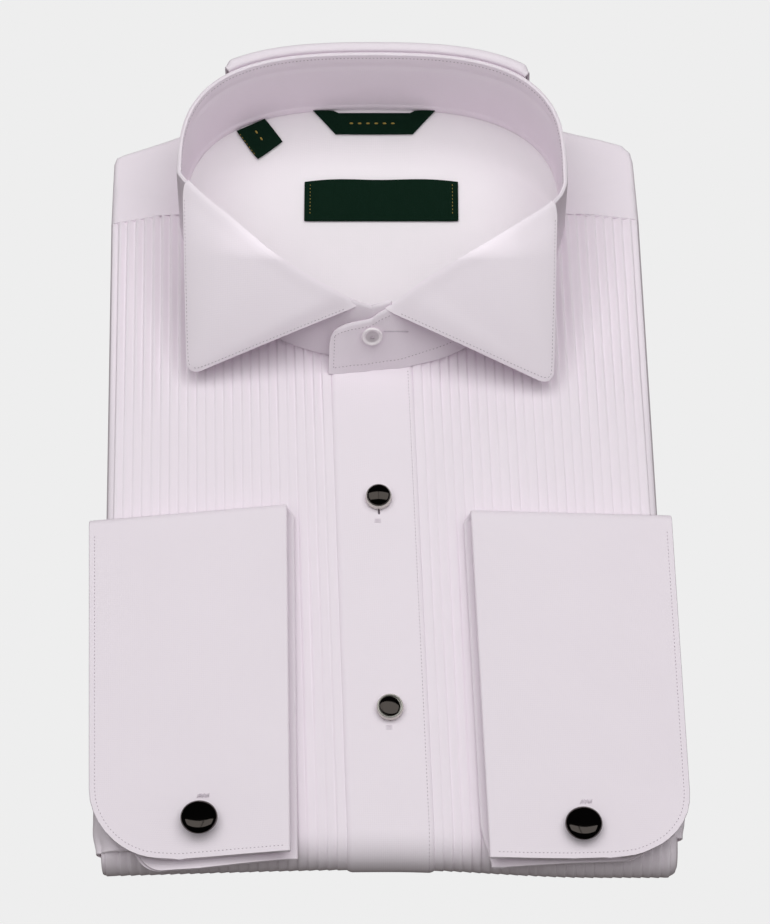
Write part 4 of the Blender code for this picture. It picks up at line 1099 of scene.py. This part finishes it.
# across the cuff, from its outer side, and how far the free bottom edge moves along and up
cuffWaves = {
    "left": {"top": [(0.0, 0.0, 0.0), (0.3, -1.1, -1.6), (0.45, -1.5, -2.9), (0.62, -0.8, -2.4),
                     (0.8, -0.2, -1.2), (1.0, 0.3, 0.4)],
             "under": [(0.0, -1.6, 0.6), (0.35, -1.6, 0.2), (0.55, -0.9, 0.5), (0.65, -0.2, 0.7),
                       (0.8, 0.9, 0.9), (1.0, 2.2, 0.6)]},
    "right": {"top": [(0.0, 0.8, 2.2), (0.2, 1.2, 1.4), (0.4, 0.4, -0.6), (0.6, 0.0, -1.0),
                      (0.8, 0.0, -0.7), (1.0, 0.2, -0.2)],
              "under": [(0.0, 4.0, 1.6), (0.27, 3.7, 1.4), (0.58, 2.8, 1.2), (0.8, 2.0, 0.6),
                        (0.97, 1.4, 0.2), (1.0, 1.4, 0.0)]},
}


def cuffWave(sideName, across, along, turn):
    free = smooth((0.22 - along) / 0.22)
    rows = cuffWaves[sideName]["top" if turn < 90 else "under"]
    across = min(max(across, 0.0), 1.0)
    return [tableValue([(row[0], row[kind]) for row in rows], across) * free for kind in (1, 2)]


def makeCuff(sideName):
    cuff = cuffPlan[sideName]
    side = -1 if sideName == "left" else 1
    width, length = cuffSizes(cuff)
    layer = cuffPlan["layer"]
    layers = [(share, layer) for share in between(0, 1, 18)]
    for angle in (20, 40, 60, 80, 100, 120, 140, 160):
        bend = math.radians(angle)
        layers.append((1 + layer * math.sin(bend) / width, layer * math.cos(bend)))
    layers += [(share, -layer) for share in between(1, 0.02, 18)]
    grid = []
    for along, turn, edge, foldEdge in cuffStations(cuff):
        swing = math.radians(turn)
        row = []
        for share, out in layers:
            across = edge + (foldEdge - edge) * min(share, 1) + max(share - 1, 0)
            up = (cuffPlace(cuff, across, 1) - cuffPlace(cuff, across, 0)).normalized()
            point = cuffPlace(cuff, across, along) + up * (cuffPlan["loop"] + out) * math.sin(swing)
            point.z = cuffPlan["middleZ"] + (cuffPlan["loop"] + out) * math.cos(swing)
            forward, lift = cuffWave(sideName, across, along, turn)
            point.y += forward
            point.z += lift
            if side > 0 and turn > 90:
                far = smooth((across - 0.75) / 0.25) * smooth((0.1 - along) / 0.13)
                point.x += cuffPlan["rightCornerOut"] * far
            row.append(point)
        grid.append(row if side < 0 else row[::-1])
    made = clothSheet("cuff" + sideName.capitalize(), grid, cuffPlan["wall"], 0.3)
    finishPiece(made, fusedPoplin, ["cuff_" + sideName])
    surface = cuffPlan["middleZ"] + cuffPlan["loop"] + layer + cuffPlan["wall"] / 2
    inset = cuffPlan["stitchIn"]
    corner = cuffPlan["corner"]

    def spot(across, along):
        point = cuffPlace(cuff, across, along)
        forward, lift = cuffWave(sideName, across, along, 0)
        point.y += forward
        point.z = surface + lift
        return point, skyward

    line = [spot(inset / width, along) for along in between(0.94, corner / length, 30)]
    for angle in (80, 70, 60, 50, 40, 30, 20, 10, 0):
        swing = math.radians(angle)
        reach = corner - inset
        line.append(spot((corner - reach * math.sin(swing)) / width,
                         (corner - reach * math.cos(swing)) / length))
    line += [spot(across, inset / length) for across in between(corner / width + 0.03, 0.985, 24)]
    sewStitches("cuffStitches" + sideName.capitalize(), [line])


for name in ("left", "right"):
    makeSleeve(name)
    makeCuff(name)
print("sleeves and cuffs ready")


layersPlan = {"half": 109.0, "startY": 36.0, "endY": 132.5, "plies": (5.3, 6.7, 8.1, 9.3), "wall": 1.08,
              "lowest": 4.9, "under": 2.9, "flat": (0.215, 0.50)}
sleeveLayersPlan = {"plies": (11.2, 12.9), "wall": 1.4, "startY": -157, "endY": 145, "flat": (0.2, 0.30),
                    "rows": [(-157, 92), (-154, 95), (-29, 95), (-24, 106), (130, 106), (141, 103),
                             (145, 97)]}


# one ply along the fold; its sides wander a little
def foldedPly(number, height):
    plan = layersPlan
    half = plan["half"] - 1.1 * number - 3.2
    grid = []
    for share in between(-1, 1, 40):
        column = []
        for y, turn in foldPath(plan["startY"], plan["endY"] - 0.8 * number, 24, 20):
            tall = topZ(y) - middle if turn == 0 else middle
            squeeze = (tall - plan["under"] - plan["lowest"]) / (middle - plan["under"] - plan["lowest"])
            ply = plan["lowest"] + (height - plan["lowest"]) * squeeze
            edge = 0.25 * wander(y * 0.03, number * 5.0, share) * smooth((abs(share) - 0.9) / 0.1)
            column.append(onFold(centreX(y) + half * share + edge, ply, y, turn))
        grid.append(column)
    return clothSheet(f"foldedPly{number + 1}", grid, plan["wall"], 0.4, 60)


def makeLayers():
    for number, height in enumerate(layersPlan["plies"]):
        made = foldedPly(number, height)
        finishPiece(made, poplin, ["hidden_layers"])
    plan = sleeveLayersPlan
    for number, z in enumerate(plan["plies"]):
        grid = []
        for share in between(-1, 1, 30):
            column = []
            for y in between(plan["startY"], plan["endY"], 60):
                half = tableValue(plan["rows"], y) - 0.6 - 0.5 * number
                column.append(Vector((centreX(y) + half * share, y, z)))
            grid.append(column[::-1])
        made = clothSheet(f"sleevePly{number + 1}", grid, plan["wall"], 0.4, 60)
        finishPiece(made, poplin, ["sleeve_layers"])


makeLayers()
print("inner layers ready")


# Profiles are radius and height, drawn from the bottom ring to the middle of the top.
studPlan = {
    "upper": (-2.6, -18.6), "lower": (2.0, -110.5),
    "rims": {
        "upper": [(3.6, 0.0), (4.8, 0.25), (5.25, 0.5), (5.4, 0.9), (5.4, 1.4), (5.25, 2.0), (5.15, 2.6),
                  (5.05, 2.95), (4.95, 3.05), (4.8, 3.0), (4.72, 2.8), (4.6, 2.2), (0, 2.2)],
        "lower": [(3.6, 0.0), (4.8, 0.25), (5.25, 0.5), (5.4, 0.9), (5.4, 1.6), (5.3, 2.3), (5.2, 2.8),
                  (5.0, 3.15), (4.8, 3.25), (4.55, 3.18), (4.4, 2.95), (4.3, 2.3), (0, 2.2)],
    },
    "faces": {
        "upper": [(4.15, 2.5), (4.5, 2.8), (4.68, 3.1), (4.66, 3.4), (4.4, 3.69), (4.0, 3.813), (3.4, 3.976),
                  (2.8, 4.112), (2.1, 4.238), (1.4, 4.328), (0.7, 4.382), (0, 4.4)],
        "lower": [(4.0, 2.4), (4.2, 2.7), (4.22, 2.95), (4.1, 3.12), (3.8, 3.22), (3.3, 3.3), (2.4, 3.37),
                  (1.2, 3.41), (0, 3.42)],
    },
    # degrees forwards and aside that each face sits in its rim, and the height it turns about
    "turned": {"upper": (0.5, 0), "lower": (-4, 8)}, "pivot": 3.1,
    "slit": [(0, -4.8), (0.2, -7.6)], "slitShadeBead": {"stitch": 2.6, "space": 50.0, "radius": 0.42},
    "bars": [((-2.0, y), (2.0, y)) for y in (-9.4, -9.9, -10.4, -10.9)]
            + [((x, 5.6), (x, 8.6)) for x in (-0.9, -0.3, 0.3, 0.9)],
    "barThread": {"stitch": 3.2, "space": 50.0, "radius": 0.13},
}
linkPlan = {
    "profile": [(4.0, 0.6), (5.4, 0.9), (6.5, 1.2), (7.1, 1.5), (7.25, 1.8), (7.25, 2.15), (7.2, 2.6),
                (7.05, 3.0), (6.75, 3.35), (6.35, 3.62), (5.8, 3.85), (5.1, 4.02), (4.2, 4.16), (3, 4.26),
                (1.5, 4.33), (0, 4.35)],
    "lean": -12.0, "pivot": 3.1, "tackX": 1.2, "tackY": 8.7, "tackHalf": 2.1, "tackSlant": (0.35, 2.0, 0),
    "tackThread": {"stitch": 1.7, "space": 5.0, "radius": 0.16},
}
buttonPlan = {
    "x": -5.4, "turn": 360.0, "height": 0.62,
    "profile": [(3.0, 0.0), (3.9, 0.3), (4.3, 0.7), (4.4, 1.1), (4.3, 1.45), (4.05, 1.68), (3.75, 1.74),
                (3.45, 1.66), (3.1, 1.4), (2.8, 1.22), (0, 1.15)],
    "thread": {"stitch": 1.7, "space": 5.0, "radius": 0.22},
    "hole": [(353.6, 0.68), (346.6, 0.52)],  # turn and share of the band's height at its two ends
}


# a disc drawn up ring by ring, as on a lathe, from its bottom to its middle
def turnUp(name, profile, place, look, nodes, sides=64):
    bpy.ops.object.select_all(action="DESELECT")
    first = profile[0]
    bpy.ops.mesh.primitive_circle_add(vertices=sides, radius=first[0] * mm, fill_type="NGON",
                                      location=(0, 0, first[1] * mm))
    bpy.ops.object.transform_apply(location=True)
    made = bpy.context.object
    made.name = name
    bpy.ops.object.mode_set(mode="EDIT")
    bpy.ops.mesh.select_all(action="SELECT")
    bpy.ops.mesh.flip_normals()
    radius, height = first
    for nextRadius, nextHeight in profile[1:]:
        bpy.ops.mesh.extrude_region_move(
            TRANSFORM_OT_translate={"value": (0, 0, (nextHeight - height) * mm)})
        if nextRadius > 0:
            share = nextRadius / radius
            bpy.ops.transform.resize(value=(share, share, share), center_override=(0, 0, nextHeight * mm))
        else:
            bpy.ops.mesh.merge(type="CENTER")
        radius, height = (nextRadius or radius), nextHeight
    bpy.ops.mesh.select_all(action="SELECT")
    bpy.ops.mesh.normals_make_consistent(inside=False)
    bpy.ops.object.mode_set(mode="OBJECT")
    made.matrix_world = place
    bpy.ops.object.transform_apply(location=True, rotation=True, scale=True)
    bpy.ops.object.shade_smooth_by_angle(angle=math.radians(50))
    return finishPiece(made, look, nodes)


# a worked buttonhole: close short bars of thread on both sides of the slit
def satinBars(name, start, end, up, width, spacing):
    way = (end - start).normalized()
    side = way.cross(up).normalized()
    lines = []
    count = max(int((end - start).length / spacing), 1)
    for number in range(count + 1):
        centre = start.lerp(end, number / count)
        for sign in (-1, 1):
            lines.append([(centre + side * sign * 0.2, up), (centre + side * sign * width, up)])
    for far in (start, end):
        for step in (-0.3, 0.0, 0.3):
            lines.append([(far + way * step - side * width, up), (far + way * step + side * width, up)])
    thread = {"stitch": width * 0.78, "space": 5.0, "radius": 0.16}
    sewStitches(name, lines, tackThread, thread)
    # the slit is a dark bead of painted shade in the opening
    slit = {"stitch": (end - start).length - 0.6, "space": 50.0, "radius": 0.14}
    sewStitches(name + "Slit", [[(start, up), (end, up)]], slitShade, slit)


# the place of a piece that leans about a point on its own axis
def leaning(place, pivot, forward, aside=0.0):
    raised = Matrix.Translation(Vector((0, 0, pivot)) * mm)
    lean = Matrix.Rotation(math.radians(forward), 4, "X") @ Matrix.Rotation(math.radians(aside), 4, "Y")
    return place @ raised @ lean @ raised.inverted()


def makeStud(level):
    plan = studPlan
    x, y = plan[level]
    seat = topZ(y) + placketPlan["proud"] + bodyPlan["gap"]
    place = Matrix.Translation(Vector((x, y, seat)) * mm)
    turnUp("studRim" + level.capitalize(), plan["rims"][level], place, silver,
           [f"stud_{level}_rim"])
    turnUp("studFace" + level.capitalize(), plan["faces"][level],
           leaning(place, plan["pivot"], *plan["turned"][level]), enamel,
           [f"stud_{level}_face"])

    def sewn(ends):
        return [(placketTop(x + across - placketX(y + along), y + along), skyward) for across, along in ends]

    # below each stud, a dark bead of painted shade in the buttonhole's slit
    sewStitches("studSlit" + level.capitalize(), [sewn(plan["slit"])], slitShade,
                plan["slitShadeBead"])
    sewStitches("studHole" + level.capitalize(), [sewn(ends) for ends in plan["bars"]], tackThread,
                plan["barThread"])


def makeLink(sideName):
    plan = linkPlan
    surface = cuffPlan["middleZ"] + cuffPlan["loop"] + cuffPlan["layer"] + cuffPlan["wall"] / 2
    x, y = cuffPlan[sideName]["link"]
    place = Matrix.Translation(Vector((x, y, surface + bodyPlan["gap"])) * mm)
    turnUp("cufflink" + sideName.capitalize(), plan["profile"], leaning(place, plan["pivot"], plan["lean"]),
           enamel, ["cufflink_" + sideName])
    # the bar tack that closes the upper end of the buttonhole
    bars = []
    for step in between(-plan["tackHalf"], plan["tackHalf"], 7):
        foot = Vector((x + plan["tackX"] + step, y + plan["tackY"] + 0.2 * math.sin(step * 4), surface))
        bars.append([(foot, skyward), (foot + Vector(plan["tackSlant"]), skyward)])
    sewStitches("cuffTack" + sideName.capitalize(), bars, tackThread, plan["tackThread"])


def makeButton():
    plan = buttonPlan
    out = collarNormal(plan["turn"], plan["height"])
    surface = collarPoint(plan["turn"], plan["height"]) + out * collarPlan["wall"] / 2
    seat = surface + out * bodyPlan["gap"]
    seat.x = plan["x"]
    tilt = skyward.rotation_difference(out).to_matrix().to_4x4()
    turnUp("collarButton", plan["profile"], Matrix.Translation(seat * mm) @ tilt,
           buttonMaterial(seat * mm), ["collar_button"])
    # two crossed pairs of threads in the dish
    lines = []
    for sign in (-1, 1):
        start = seat + out * 1.25 + Vector((sign * 0.75, -0.9, 0))
        end = seat + out * 1.25 + Vector((-sign * 0.75, 0.9, 0))
        lines += [[(start + Vector((shift, 0, 0)), out), (end + Vector((shift, 0, 0)), out)]
                  for shift in (-0.2, 0.2)]
    sewStitches("buttonThread", lines, whiteThread, plan["thread"])
    holeStart, holeUp = bandSpot(*plan["hole"][0], 1)
    holeEnd, _ = bandSpot(*plan["hole"][1], 1)
    satinBars("collarHole", holeStart, holeEnd, holeUp, 0.95, 0.34)


for name in ("upper", "lower"):
    makeStud(name)
for name in ("left", "right"):
    makeLink(name)
makeButton()
print("fastenings ready")


# the lit table is what the camera sees, and the dark one below it is what the light meets
for name, look, lit in (("floor", paper, True), ("floorDark", darkTable, False)):
    bpy.ops.object.select_all(action="DESELECT")
    bpy.ops.mesh.primitive_plane_add(size=studio["floorSize"])
    floor = bpy.context.object
    floor.name = name
    floor.location.z = 0 if lit else -0.0005
    floor.visible_camera = lit
    floor.visible_diffuse = not lit
    floor.visible_glossy = False
    floor.visible_shadow = not lit
    floor.data.materials.append(look)

print("finishing")
